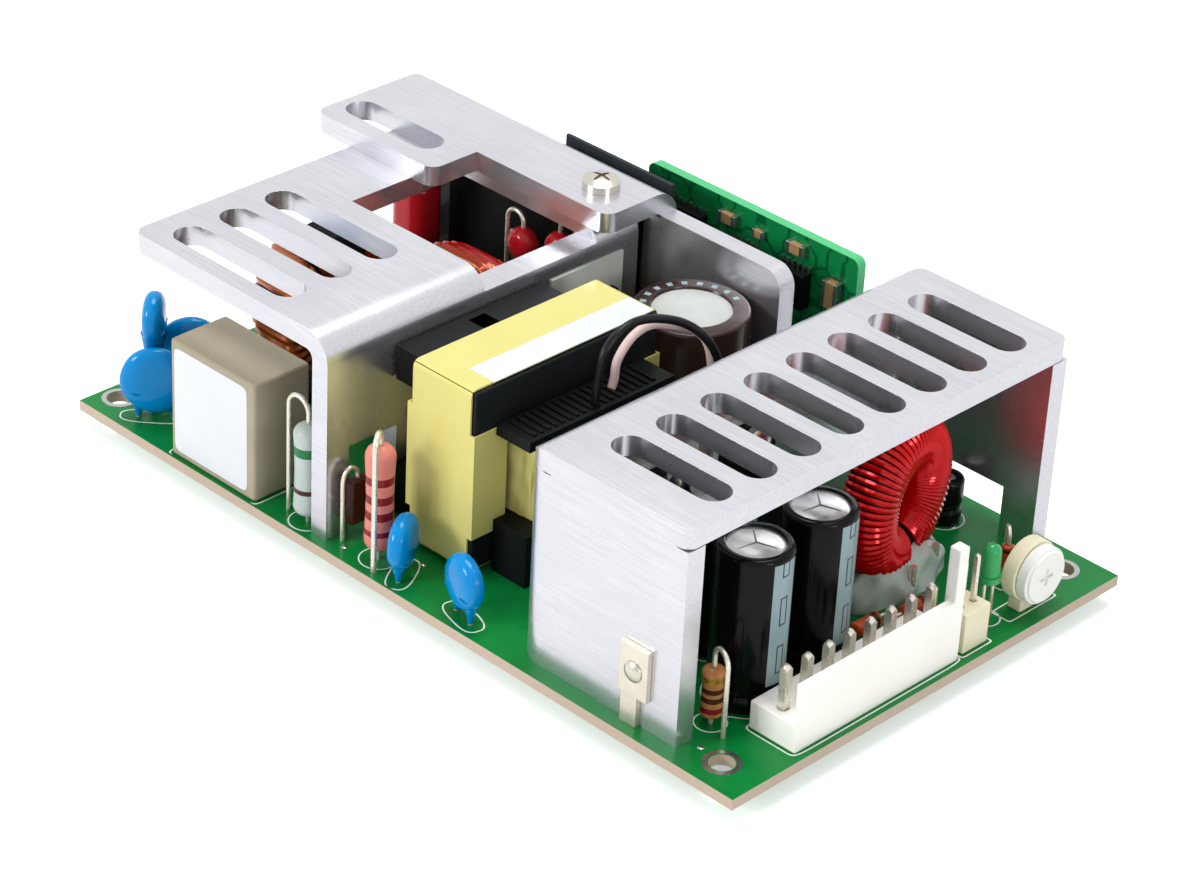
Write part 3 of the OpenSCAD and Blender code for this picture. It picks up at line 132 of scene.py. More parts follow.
@dataclass(frozen=True)
class Finish:
    """A surface finish: a base colour varied by fine noise, with its own gloss.

    The pattern reads Object coordinates, so its scale is a real size.
    """

    name: str
    colour: str
    shade: str
    roughness: float = 0.4
    metallic: float = 0.0
    ior: float = 1.5
    coat: float = 0.0
    shine: float = 0.18
    see_through: float = 0.0
    mottle_mm: float = 6.0
    grain_mm: float = 0.25
    grain_height_mm: float = 0.004
    roughness_spread: float = 0.08

    def material(self) -> bpy.types.Material:
        """Makes the finish's material on first use.

        Returns:
            The material.
        """
        found = bpy.data.materials.get(self.name)
        if found is not None:
            return found
        made = bpy.data.materials.new(self.name)
        made.use_nodes = True
        tree = made.node_tree
        tree.nodes.clear()
        out = add_node(tree, "ShaderNodeOutputMaterial")
        skin = self.skin(tree)
        tree.links.new(skin.outputs["BSDF"], out.inputs["Surface"])
        return made

    def skin(self, tree: bpy.types.NodeTree) -> bpy.types.Node:
        """Builds the surface shader.

        Args:
            tree: The material's node tree.

        Returns:
            The Principled node that holds the finish.
        """
        place = add_node(tree, "ShaderNodeTexCoord").outputs["Object"]
        mottle = self.noise(tree, place, self.mottle_mm, 3.0)
        grain = self.noise(tree, place, self.grain_mm, 2.0)
        gloss = add_node(tree, "ShaderNodeMapRange",
                         {"To Min": max(self.roughness - self.roughness_spread, 0.02),
                          "To Max": self.roughness + self.roughness_spread},
                         {"Value": mottle.outputs["Fac"]})
        bump = add_node(tree, "ShaderNodeBump",
                        {"Strength": 0.6, "Distance": self.grain_height_mm * MM},
                        {"Height": grain.outputs["Fac"]})
        return add_node(tree, "ShaderNodeBsdfPrincipled",
                        {"Metallic": self.metallic, "IOR": self.ior,
                         "Specular IOR Level": 0.5 if self.metallic > 0.5 else self.shine,
                         "Coat Weight": self.coat, "Coat Roughness": 0.05, "Coat IOR": 1.25,
                         "Transmission Weight": self.see_through},
                        {"Base Color": self.tone(tree, place, mottle),
                         "Roughness": gloss.outputs["Result"], "Normal": bump.outputs["Normal"]})

    def noise(self, tree: bpy.types.NodeTree, place: bpy.types.NodeSocket, size_mm: float,
              detail: float) -> bpy.types.Node:
        """Adds noise whose lumps are about size_mm across."""
        return add_node(tree, "ShaderNodeTexNoise", {"Scale": 1 / (size_mm * MM), "Detail": detail},
                        {"Vector": place})

    def tone(self, tree: bpy.types.NodeTree, place: bpy.types.NodeSocket,
             mottle: bpy.types.Node) -> bpy.types.NodeSocket:
        """Mixes the finish's two colours by its mottle.

        Args:
            tree: The material's node tree.
            place: The Object coordinates.
            mottle: The slow noise.

        Returns:
            The colour socket.
        """
        return self.blend(tree, mottle.outputs["Fac"], linear(self.shade), linear(self.colour))

    def blend(self, tree: bpy.types.NodeTree, amount: bpy.types.NodeSocket,
              low: tuple | bpy.types.NodeSocket, high: tuple | bpy.types.NodeSocket
              ) -> bpy.types.NodeSocket:
        """Mixes two colours, each a value or a socket.

        Args:
            tree: The material's node tree.
            amount: 0 for low, 1 for high.
            low: The first colour.
            high: The second colour.

        Returns:
            The mixed colour's socket.
        """
        fixed = {key: c for key, c in ((6, low), (7, high)) if isinstance(c, tuple)}
        linked = {key: c for key, c in ((6, low), (7, high)) if not isinstance(c, tuple)}
        mix = add_node(tree, "ShaderNodeMix", {"data_type": "RGBA", **fixed}, {0: amount, **linked})
        return mix.outputs[2]

    def step(self, tree: bpy.types.NodeTree, value: bpy.types.NodeSocket, low: float,
             high: float) -> bpy.types.NodeSocket:
        """Turns a value to 0 below low, 1 above high, and a smooth rise between.

        Args:
            tree: The material's node tree.
            value: What is stepped.
            low: Where the rise starts.
            high: Where it ends.

        Returns:
            The stepped value's socket.
        """
        made = add_node(tree, "ShaderNodeMapRange",
                        {"interpolation_type": "SMOOTHSTEP", "From Min": low, "From Max": high},
                        {"Value": value})
        return made.outputs["Result"]


@dataclass(frozen=True)
class MillMetal(Finish):
    """Rolled sheet: long fine lines along the roll, cloudy smudges, small dark nicks."""

    line_mm: float = 0.35
    nick_mm: float = 1.3
    nick_colour: str = "#8f8f96"

    def tone(self, tree: bpy.types.NodeTree, place: bpy.types.NodeSocket,
             mottle: bpy.types.Node) -> bpy.types.NodeSocket:
        """Adds the rolling lines and nicks to the two colours.

        Args:
            tree: The material's node tree.
            place: The Object coordinates.
            mottle: The slow noise.

        Returns:
            The colour socket.
        """
        base = super().tone(tree, place, mottle)
        along = add_node(tree, "ShaderNodeMapping", {"Scale": (0.05, 1.0, 1.0)},
                         {"Vector": place})
        lines = self.noise(tree, along.outputs["Vector"], self.line_mm, 2.0)
        lined = self.blend(tree, self.step(tree, lines.outputs["Fac"], 0.3, 0.75),
                           linear(self.shade), base)
        nicks = self.noise(tree, place, self.nick_mm, 4.0)
        return self.blend(tree, self.step(tree, nicks.outputs["Fac"], 0.78, 0.86), lined,
                          linear(self.nick_colour))


@dataclass(frozen=True)
class SolderMask(Finish):
    """Green mask on laminate, paler over copper; its cut edge bare tan, a painted highlight on the
    control board.
    """

    face: Axis = Axis.Z
    # The cut edge's colour: tan laminate, and on the control board a pale green painted highlight.
    edge_laminate_and_highlight: str = "#b8a694"
    copper_colour: str = "#189a4c"
    pour_mm: float = 9.0

    def tone(self, tree: bpy.types.NodeTree, place: bpy.types.NodeSocket,
             mottle: bpy.types.Node) -> bpy.types.NodeSocket:
        """Shows copper under the mask, split by narrow gaps, and the edge: laminate, on the control
        board a painted highlight.

        Args:
            tree: The material's node tree.
            place: The Object coordinates.
            mottle: The slow noise.

        Returns:
            The colour socket.
        """
        base = super().tone(tree, place, mottle)
        cells, gaps = (add_node(tree, "ShaderNodeTexVoronoi",
                                {"feature": order, "distance": "MANHATTAN",
                                 "Scale": 1 / (self.pour_mm * MM), "Randomness": 0.75},
                                {"Vector": place}) for order in ("F1", "F2"))
        width = add_node(tree, "ShaderNodeMath", {"operation": "SUBTRACT"},
                         {0: gaps.outputs["Distance"], 1: cells.outputs["Distance"]})
        copper = self.blend(tree, self.step(tree, width.outputs["Value"], 0.1, 0.14), base,
                            linear(self.copper_colour))
        facing = add_node(tree, "ShaderNodeNewGeometry")
        parts = add_node(tree, "ShaderNodeSeparateXYZ", None, {"Vector": facing.outputs["Normal"]})
        facing_out = parts.outputs[self.face.value]
        under = self.blend(tree, self.step(tree, facing_out, -0.6, -0.4), copper, base)
        flat = add_node(tree, "ShaderNodeMath", {"operation": "ABSOLUTE"}, {0: facing_out})
        return self.blend(tree, self.step(tree, flat.outputs["Value"], 0.45, 0.55),
                          linear(self.edge_laminate_and_highlight), under)


FINISHES: dict[str, Finish] = {
    # First the record's material slots, then the finishes of pieces that the frame lacks.
    # Solder mask cured on glass laminate: glossy green, paler over copper, tan at the cut.
    "board_green": SolderMask("solder_mask_green", "#068239", "#056c2e", 0.3, coat=0.2,
                              mottle_mm=4),
    # Aluminium sheet as rolled: bright and blurred, with fine lines and cloudy smudges. The
    # lines are drawn coarser than they are, so that they show.
    "heatsink_sheet": MillMetal("aluminium_mill_finish", "#dedee2", "#cdcdd4", 0.27, 0.9,
                                mottle_mm=14, grain_mm=0.3, grain_height_mm=0.006,
                                roughness_spread=0.1),
    # Copper wire dipped in tin: pale silver, a little uneven.
    "tinned_wire": Finish("tinned_copper", "#e8e4d8", "#d2ccbe", 0.26, 0.7, mottle_mm=1.5,
                          grain_height_mm=0.0008),
    # Steel screws plated with nickel: a warm, sharp shine.
    "plated_steel": Finish("nickel_plated_steel", "#dedad0", "#bdb8aa", 0.22, 0.95, mottle_mm=2),
    # Stamped brass sheet, tinned: creamy silver, half dull.
    "tinned_sheet": Finish("tinned_brass_sheet", "#e6e0d2", "#cfc7b6", 0.34, 0.85, mottle_mm=1.6),
    # Moulded nylon, ivory: near white and waxy, with no sharp glint.
    "ivory_nylon": Finish("nylon_ivory_moulded", "#fbfaf6", "#f2f0e8", 0.42, mottle_mm=8),
    # Moulded nylon, cream: a yellower white, just as waxy.
    "cream_nylon": Finish("nylon_cream_moulded", "#ede6cc", "#e0d8ba", 0.42, mottle_mm=6),
    # Moulded phenolic, brown: dark, hard and half dull.
    "brown_phenolic": Finish("phenolic_brown_moulded", "#5a4031", "#4a3327", 0.4),
    # Polyester case: beige, its skin finely pitted from the mould.
    "tan_case": Finish("polyester_tan_case", "#a79f8b", "#988f7a", 0.45, grain_mm=0.3,
                       grain_height_mm=0.012),
    # Epoxy that ran and set: a wet-looking blue with slow waves.
    "blue_dip": Finish("epoxy_blue_dipped", "#0088cc", "#0076b6", 0.12, coat=0.5, mottle_mm=4,
                       shine=0.12, grain_mm=1.2, grain_height_mm=0.02),
    # Ferrite pressed and fired: matt charcoal with a stony grain.
    "ferrite": Finish("ferrite_sintered", "#1c2022", "#121516", 0.5, shine=0.15, grain_mm=0.3,
                      grain_height_mm=0.02),
    # Copper wire under amber enamel: metal seen through a clear gloss.
    "copper_wire": Finish("enamelled_copper_amber", "#b8652a", "#8c3f16", 0.22, 0.6, coat=0.9,
                          mottle_mm=2.5),
    # Moulded phenolic, black: deep, with a broad weak sheen.
    "black_plastic": Finish("phenolic_black_moulded", "#121213", "#0b0b0c", 0.42, shine=0.12),
    # Moulded epoxy, black: even and dull.
    "black_mould": Finish("epoxy_black_moulding", "#0f1112", "#08090a", 0.38, shine=0.12),
    # Epoxy dipped over a wound film: shiny dark red, softly uneven.
    "red_film": Finish("epoxy_red_dipped", "#c8202c", "#a0121e", 0.16, coat=0.5, grain_mm=1.0,
                       grain_height_mm=0.02),
    # Lacquer baked on a ceramic body: pale grey, soft gloss.
    "grey_body": Finish("lacquer_pale_grey", "#b9c4c0", "#a5b2ad", 0.35, coat=0.3),
    # The same lacquer in pink.
    "pink_body": Finish("lacquer_pink", "#d9867a", "#cc7468", 0.35, coat=0.3),
    # Silicone pad filled with glass: matt grey-white.
    "grey_pad": Finish("silicone_grey_pad", "#d2d6ce", "#c2c7be", 0.5),
    # Polyester tape pulled tight: glossy yellow with shallow creases.
    "yellow_tape": Finish("polyester_tape_yellow", "#d8d084", "#cac26e", 0.24, coat=0.3,
                          mottle_mm=9, grain_mm=2.2, grain_height_mm=0.05),
    # Silicone-covered wire: a dull pinkish white.
    "pale_lead": Finish("silicone_lead_pale", "#dcc4c0", "#cbb0ac", 0.4),
    # Vinyl-covered wire: black with a soft sheen.
    "dark_lead": Finish("vinyl_lead_black", "#191a1c", "#101112", 0.3),
    # Drawn aluminium can: grey-white with blurred reflections.
    "can_aluminium": Finish("aluminium_drawn_can", "#d4d4d2", "#c0c0be", 0.3, 0.85, mottle_mm=2),
    # Vinyl shrunk on by heat: dark brown, smooth and shiny.
    "brown_sleeve": Finish("vinyl_sleeve_brown", "#3a2622", "#2a1a17", 0.25, coat=0.4),
    # Vinyl shrunk on by heat: black, with one narrow streak of light.
    "black_sleeve": Finish("vinyl_sleeve_black", "#08090a", "#040505", 0.22, coat=0.25,
                           shine=0.1),
    # Vulcanised fibre sheet: flat slate, with hardly a sheen.
    "dark_sheet": Finish("fibre_sheet_dark", "#24292d", "#1b1f22", 0.45),
    # Copper wire under red enamel: each turn has its own red glint.
    "red_enamel": Finish("enamelled_copper_red", "#dc0a12", "#a80408", 0.15, 0.3, coat=0.6,
                         mottle_mm=1.2, grain_mm=0.6),
    # Silicone squeezed on and cured: milky, half see-through, lumpy.
    "clear_adhesive": Finish("silicone_adhesive_cloudy", "#dceae4", "#c6d8d0", 0.25, coat=0.4,
                             see_through=0.3, grain_mm=2.0, grain_height_mm=0.1),
    # Tinted epoxy cast as a lens: green, with light going in.
    "green_lamp": Finish("epoxy_lens_green", "#3cc070", "#22a052", 0.16, coat=0.7,
                         see_through=0.25),
    # Glass sleeve round a diode: orange, with a glassy shine.
    "orange_body": Finish("glass_sleeve_orange", "#d0582c", "#b03a18", 0.2, coat=0.6),
    # Lacquer on a film resistor: tan, soft gloss.
    "tan_body": Finish("lacquer_tan", "#c2854e", "#a8703c", 0.32, coat=0.4),
    # Moulded nylon, white: clean and waxy.
    "white_disc": Finish("nylon_white_moulded", "#eef0ec", "#e3e6e0", 0.4),
    # Solder that ran and froze: bright grey, slightly frosted.
    "solder": Finish("solder_bright", "#c6c6c4", "#aeaeac", 0.25, 0.95, mottle_mm=1.5),
    # The control board's mask: green darkened as painted shade on its face, its cut edge pale green as a
    # painted highlight.
    "control_green_painted_shade": SolderMask("solder_mask_control_painted_light", "#056034", "#044e2a", 0.28, coat=0.3,
                                mottle_mm=3, face=Axis.Y, edge_laminate_and_highlight="#4cb878",
                                copper_colour="#0a7a40", pour_mm=4.5),
    # Painted glints: a thin gold strand between the boost choke's red turns stands for the copper's gold
    # glints.
    "gold_glint_wire": Finish("painted_glint_gold", "#d9a13c", "#b87a22", 0.2, 0.7, coat=0.6,
                        mottle_mm=1.5),
    # Ink screened on the board: flat white.
    "print_white": Finish("board_print_white", "#eef4ee", "#dfe9df", 0.5, mottle_mm=1.0),
    # Coated paper: a cool white with little gloss.
    "label_white": Finish("paper_label_white", "#d8dbe0", "#d0d3d8", 0.4, mottle_mm=5),
    # Copper wire under wine enamel: deep red metal, strong gloss.
    "wine_wire": Finish("enamelled_copper_wine", "#b80f16", "#860a10", 0.17, 0.3, coat=0.9,
                        mottle_mm=2.5),
    # Ink on a vinyl sleeve: blue grey, with the sleeve's gloss.
    "sleeve_stripe": Finish("sleeve_stripe_grey", "#93aab0", "#7f969c", 0.3, coat=0.5),
    # The dark ink lines on that stripe.
    "stripe_mark": Finish("sleeve_stripe_mark", "#2a3438", "#1f282b", 0.3, coat=0.5),
    # Dark red ring paint on lacquer: as glossy as the body under it.
    "band_red": Finish("band_dark_red", "#8c1420", "#741019", 0.3, coat=0.4, mottle_mm=1),
    # Brown ring paint: dark, as glossy as the lacquer.
    "band_brown": Finish("band_brown", "#4a2412", "#381a0c", 0.3, coat=0.4, mottle_mm=1),
    # Gold ring paint: fine metal flake, so it glints.
    "band_gold": Finish("band_gold", "#c79a3c", "#a87c28", 0.28, 0.7, coat=0.4, mottle_mm=1),
    # Green ring paint: plain and glossy.
    "band_green": Finish("band_green", "#1f7a4a", "#186038", 0.3, coat=0.4, mottle_mm=1),
    # Fired ceramic of the chip parts: tan eggshell.
    "ceramic_tan": Finish("ceramic_tan", "#a98a62", "#94764e", 0.4, mottle_mm=1),
    # Rubber-faced vent disc: light grey and matt.
    "vent_grey": Finish("vent_disc_rubber", "#c9ccc9", "#b5b9b6", 0.45, mottle_mm=2),
    # Painted shade: a pressed line in the can, drawn dark grey so that it reads as its shadow.
    "score_dark": Finish("vent_score_shadow", "#77777a", "#66666a", 0.4, 0.8, mottle_mm=1),
}


# ------------------------------------------------------------------ shapes


@dataclass(frozen=True)
class Solid:
    """One separate solid of a CAD node: welded points in millimetres, and its triangles."""

    points: Array
    faces: Array

    @property
    def low(self) -> Array:
        """The lowest corner."""
        return self.points.min(0)

    @property
    def high(self) -> Array:
        """The highest corner."""
        return self.points.max(0)

    @property
    def centre(self) -> Array:
        """The middle of the box."""
        return (self.low + self.high) / 2

    @property
    def size(self) -> Array:
        """The box's three sides."""
        return self.high - self.low


def welded(node: str) -> Solid:
    """Reads a CAD node's mesh with its doubled points joined.

    Args:
        node: The node's name.

    Returns:
        All of the node as one Solid.
    """
    mesh = frame["nodes"][node].data
    points = np.zeros(len(mesh.vertices) * 3)
    mesh.vertices.foreach_get("co", points)
    mesh.calc_loop_triangles()
    corners = np.zeros(len(mesh.loop_triangles) * 3, np.int64)
    mesh.loop_triangles.foreach_get("vertices", corners)
    kept, same = np.unique(np.round(points.reshape(-1, 3) / MM, 4), axis=0, return_inverse=True)
    faces = same.reshape(-1)[corners].reshape(-1, 3)
    whole = (faces[:, 0] != faces[:, 1]) & (faces[:, 1] != faces[:, 2]) & (faces[:, 0] != faces[:, 2])
    return Solid(kept, faces[whole])


def solids(node: str) -> list[Solid]:
    """Splits a CAD node into its separate solids.

    Each point takes the lowest number among the triangles that share it, until
    nothing changes; points that end with one number are one solid.

    Args:
        node: The node's name.

    Returns:
        The solids, in the order of their lowest corners along X, then Y.
    """
    whole = welded(node)
    label = np.arange(len(whole.points))
    while True:
        lowest = label[whole.faces].min(1)
        spread = label.copy()
        np.minimum.at(spread, whole.faces.ravel(), np.repeat(lowest, 3))
        spread = spread[spread]
        if (spread == label).all():
            break
        label = spread
    found = []
    for one in np.unique(label[whole.faces[:, 0]]):
        chosen = np.flatnonzero(label == one)
        fresh = np.full(len(label), -1)
        fresh[chosen] = np.arange(len(chosen))
        found.append(Solid(whole.points[chosen], fresh[whole.faces[label[whole.faces[:, 0]] == one]]))
    return sorted(found, key=lambda s: tuple(np.round(s.low, 2)))


Surface = tuple[Array, Array]


def grid(points: Array, closed: bool = False) -> Surface:
    """Joins a grid of points into four-sided faces.

    Args:
        points: Rows by columns by 3.
        closed: Whether the last column joins the first.

    Returns:
        The points as one list, and the faces.
    """
    rows, columns = points.shape[:2]
    i = np.arange(rows - 1)[:, None]
    j = np.arange(columns if closed else columns - 1)[None, :]
    k = (j + 1) % columns
    faces = np.stack([i * columns + j, i * columns + k, (i + 1) * columns + k,
                      (i + 1) * columns + j], -1)
    return points.reshape(-1, 3), faces.reshape(-1, 4)


def joined(surfaces: Iterable[Surface]) -> Surface:
    """Puts several surfaces into one.

    Args:
        surfaces: The surfaces, whose faces all have one number of corners.

    Returns:
        One list of points, and the faces.
    """
    held = list(surfaces)
    starts = np.cumsum([0] + [len(points) for points, _ in held[:-1]])
    return (np.concatenate([points for points, _ in held]),
            np.concatenate([faces + start for (_, faces), start in zip(held, starts)]))


def smooth_path(points: Sequence[Sequence[float]], steps: int = 8) -> Array:
    """Passes a smooth curve through points.

    Between two points the curve is the cubic that meets both, with the slope at
    each point half the step from its last neighbour to its next.

    Args:
        points: The points to pass through.
        steps: The pieces between two points.

    Returns:
        The curve's points.
    """
    p = np.asarray(points, float)
    ends = np.concatenate([[2 * p[0] - p[1]], p, [2 * p[-1] - p[-2]]])
    a, b, c, d = ends[:-3, None], ends[1:-2, None], ends[2:-1, None], ends[3:, None]
    t = np.linspace(0, 1, steps, endpoint=False)[None, :, None]
    curve = b + 0.5 * t * (c - a + t * (2 * a - 5 * b + 4 * c - d + t * (3 * (b - c) + d - a)))
    return np.concatenate([curve.reshape(-1, 3), p[-1:]])


def tube(path: Array, radius: float | Array, sides: int = 10, beside: Array | None = None) -> Surface:
    """Carries a circle along a path and closes both ends.

    p(s, a) = path(s) + radius(s) * (cos a * n(s) + sin a * m(s)), where n and m
    are square to the path, worked out from one direction beside it.

    Args:
        path: The centre line.
        radius: One radius, or one for each point of the path.
        sides: Points round the circle.
        beside: A direction, or one for each point, that the path never follows.

    Returns:
        The closed tube.
    """
    along = np.gradient(path, axis=0)
    along /= np.linalg.norm(along, axis=1, keepdims=True)
    if beside is None:
        beside = np.linalg.svd(path - path.mean(0), full_matrices=True)[2][2]
    n = np.cross(along, np.broadcast_to(beside, path.shape))
    n /= np.linalg.norm(n, axis=1, keepdims=True)
    m = np.cross(along, n)
    r = np.broadcast_to(np.asarray(radius, float), len(path)).copy()
    order = np.r_[0, np.arange(len(path)), len(path) - 1]
    reach = np.r_[0.0, r, 0.0]
    a = np.linspace(0, 2 * np.pi, sides, endpoint=False)
    ring = (np.cos(a)[None, :, None] * n[order][:, None] + np.sin(a)[None, :, None] * m[order][:, None])
    return grid(path[order][:, None] + reach[:, None, None] * ring, closed=True)


def turned(profile: Sequence[Sequence[float]], centre: Sequence[float], axis: Axis = Axis.Z,
           sides: int = 48) -> Surface:
    """Turns a profile about an axis through the centre.

    p(s, a) = centre + height(s) * axis + radius(s) * (cos a, sin a) square to it.

    Args:
        profile: Pairs of radius and height, from one end to the other.
        centre: Where height 0 of the axis lies.
        axis: The direction of the axis.
        sides: Points round the circle.

    Returns:
        The turned surface.
    """
    radius, height = np.asarray(profile, float).T
    a = np.linspace(0, 2 * np.pi, sides, endpoint=False)
    parts = [np.outer(radius, np.cos(a)), np.outer(radius, np.sin(a))]
    parts.insert(axis.value, np.repeat(height[:, None], sides, 1))
    return grid(np.stack(parts, -1) + np.asarray(centre, float), closed=True)


def block(low: Sequence[float], high: Sequence[float]) -> Surface:
    """Makes a box with its six faces outwards, for later rounding.

    Args:
        low: The lowest corner.
        high: The highest corner.

    Returns:
        The box.
    """
    (x0, y0, z0), (x1, y1, z1) = low, high
    points = [(x, y, z) for z in (z0, z1) for y in (y0, y1) for x in (x0, x1)]
    faces = [(0, 2, 3, 1), (4, 5, 7, 6), (0, 1, 5, 4), (2, 6, 7, 3), (0, 4, 6, 2), (1, 3, 7, 5)]
    return np.array(points, float), np.array(faces)


def lip(radius: float, height: float, rounding: float, steps: int = 6) -> Array:
    """Gives a quarter round from an upright wall over to a flat top.

    radius(a) = radius - rounding * (1 - cos a), height(a) = height - rounding * (1 - sin a).
    """
    a = np.linspace(0, np.pi / 2, steps)
    return np.stack([radius - rounding * (1 - np.cos(a)), height - rounding * (1 - np.sin(a))], -1)


def add_piece(name: str, surface: Surface, look: str, *, stands_for: Sequence[str] = (),
              body: str = CHASSIS, tones: Sequence[str] = (),
              tone_of: Array | None = None, rounding: float = 0.0, flat_deg: float = 40.0,
              mend_normals: bool = True) -> bpy.types.Object:
    """Makes a mesh object from a surface, dresses it and lets it ride on a body.

    Args:
        name: The piece's name.
        surface: Its points in millimetres and its faces.
        look: The finish's key.
        stands_for: CAD nodes that it replaces.
        body: The CAD body that it rides on.
        tones: Keys of further finishes.
        tone_of: For each face, 0 for look or the number of a further finish.
        rounding: Width of a Bevel on the sharp edges, or 0.
        flat_deg: Edges sharper than this stay sharp in shading.
        mend_normals: Whether to weld the surface and turn its faces outwards.

    Returns:
        The new object.
    """
    points, faces = surface
    mesh = bpy.data.meshes.new(name)
    mesh.vertices.add(len(points))
    mesh.vertices.foreach_set("co", (np.asarray(points) * MM).ravel())
    mesh.loops.add(faces.size)
    mesh.loops.foreach_set("vertex_index", faces.ravel())
    mesh.polygons.add(len(faces))
    mesh.polygons.foreach_set("loop_start", np.arange(0, faces.size, faces.shape[1]))
    mesh.update(calc_edges=True)
    for key in (look, *tones):
        mesh.materials.append(FINISHES[key].material())
    if tone_of is not None:
        mesh.polygons.foreach_set("material_index", np.asarray(tone_of, np.int32))
    if mend_normals:
        weld(mesh, flatten=rounding > 0)
    mesh.polygons.foreach_set("use_smooth", np.ones(len(mesh.polygons), bool))
    piece = bpy.data.objects.new(name, mesh)
    bpy.context.scene.collection.objects.link(piece)
    if rounding > 0:
        bevel = piece.modifiers.new("rounded_edges", "BEVEL")
        bevel.width = rounding * MM
        bevel.segments = 3 if rounding > WIDE_ROUNDING else 2
        bevel.limit_method = "ANGLE"
        bevel.angle_limit = math.radians(30)
        bevel.harden_normals = True
        bevel.miter_outer = "MITER_ARC"
    else:
        mesh.set_sharp_from_angle(angle=math.radians(flat_deg))
    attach(piece, body)
    if stands_for:
        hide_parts(*stands_for)
    LOG.info("%s: %d faces, %s", name, len(mesh.polygons), look)
    return piece


def weld(mesh: bpy.types.Mesh, flatten: bool) -> None:
    """Joins a mesh's doubled points, turns its faces outwards, and may join flat triangles.

    Args:
        mesh: The mesh to mend.
        flatten: Whether triangles in one plane become one face, so that a Bevel
            rounds only true edges.
    """
    held = bmesh.new()
    held.from_mesh(mesh)
    bmesh.ops.remove_doubles(held, verts=held.verts, dist=2e-6)
    bmesh.ops.dissolve_degenerate(held, edges=held.edges, dist=1e-6)
    if flatten:
        bmesh.ops.dissolve_limit(held, angle_limit=math.radians(1.0), verts=held.verts,
                                 edges=held.edges)
    bmesh.ops.recalc_face_normals(held, faces=held.faces)
    held.to_mesh(mesh)
    held.free()
    mesh.update()


def round_corners(piece: bpy.types.Object, thickness: float, radius: float) -> None:
    """Rounds the free corners of a sheet: the upright edges as long as it is thick.

    Args:
        piece: The sheet.
        thickness: The sheet's thickness.
        radius: The corner's radius.
    """
    held = bmesh.new()
    held.from_mesh(piece.data)
    held.edges.ensure_lookup_table()
    corners = []
    for edge in held.edges:
        run = edge.verts[1].co - edge.verts[0].co
        upright = abs(run.z) > 0.999 * run.length
        as_thick = abs(run.length / MM - thickness) < 0.1
        if upright and as_thick and edge.is_convex and edge.calc_face_angle(0.0) > 1.0:
            corners.append(edge)
    bmesh.ops.bevel(held, geom=corners, offset=radius * MM, offset_type="OFFSET", segments=5,
                    profile=0.5, affect="EDGES")
    held.to_mesh(piece.data)
    held.free()
    piece.data.polygons.foreach_set("use_smooth", np.ones(len(piece.data.polygons), bool))


def soften(node: str, rounding: float, look: str | None = None, body: str = CHASSIS
           ) -> bpy.types.Object:
    """Stands a copy with rounded edges in the place of a CAD node.

    Args:
        node: The CAD node, whose name the piece takes with "_rounded".
        rounding: The width of the rounding, or 0 to smooth the shading alone.
        look: A finish, where it isn't the record's slot of the node.
        body: The CAD body that it rides on.

    Returns:
        The new object.
    """
    copy = welded(node)
    return add_piece(node + "_rounded", (copy.points, copy.faces), look or SLOTS[node],
                     stands_for=(node,), body=body, rounding=rounding)


SLOTS = {part["node"]: part["material_slot"] for part in frame["record"]["subparts"]}


# ------------------------------------------------------------------ sub-assemblies


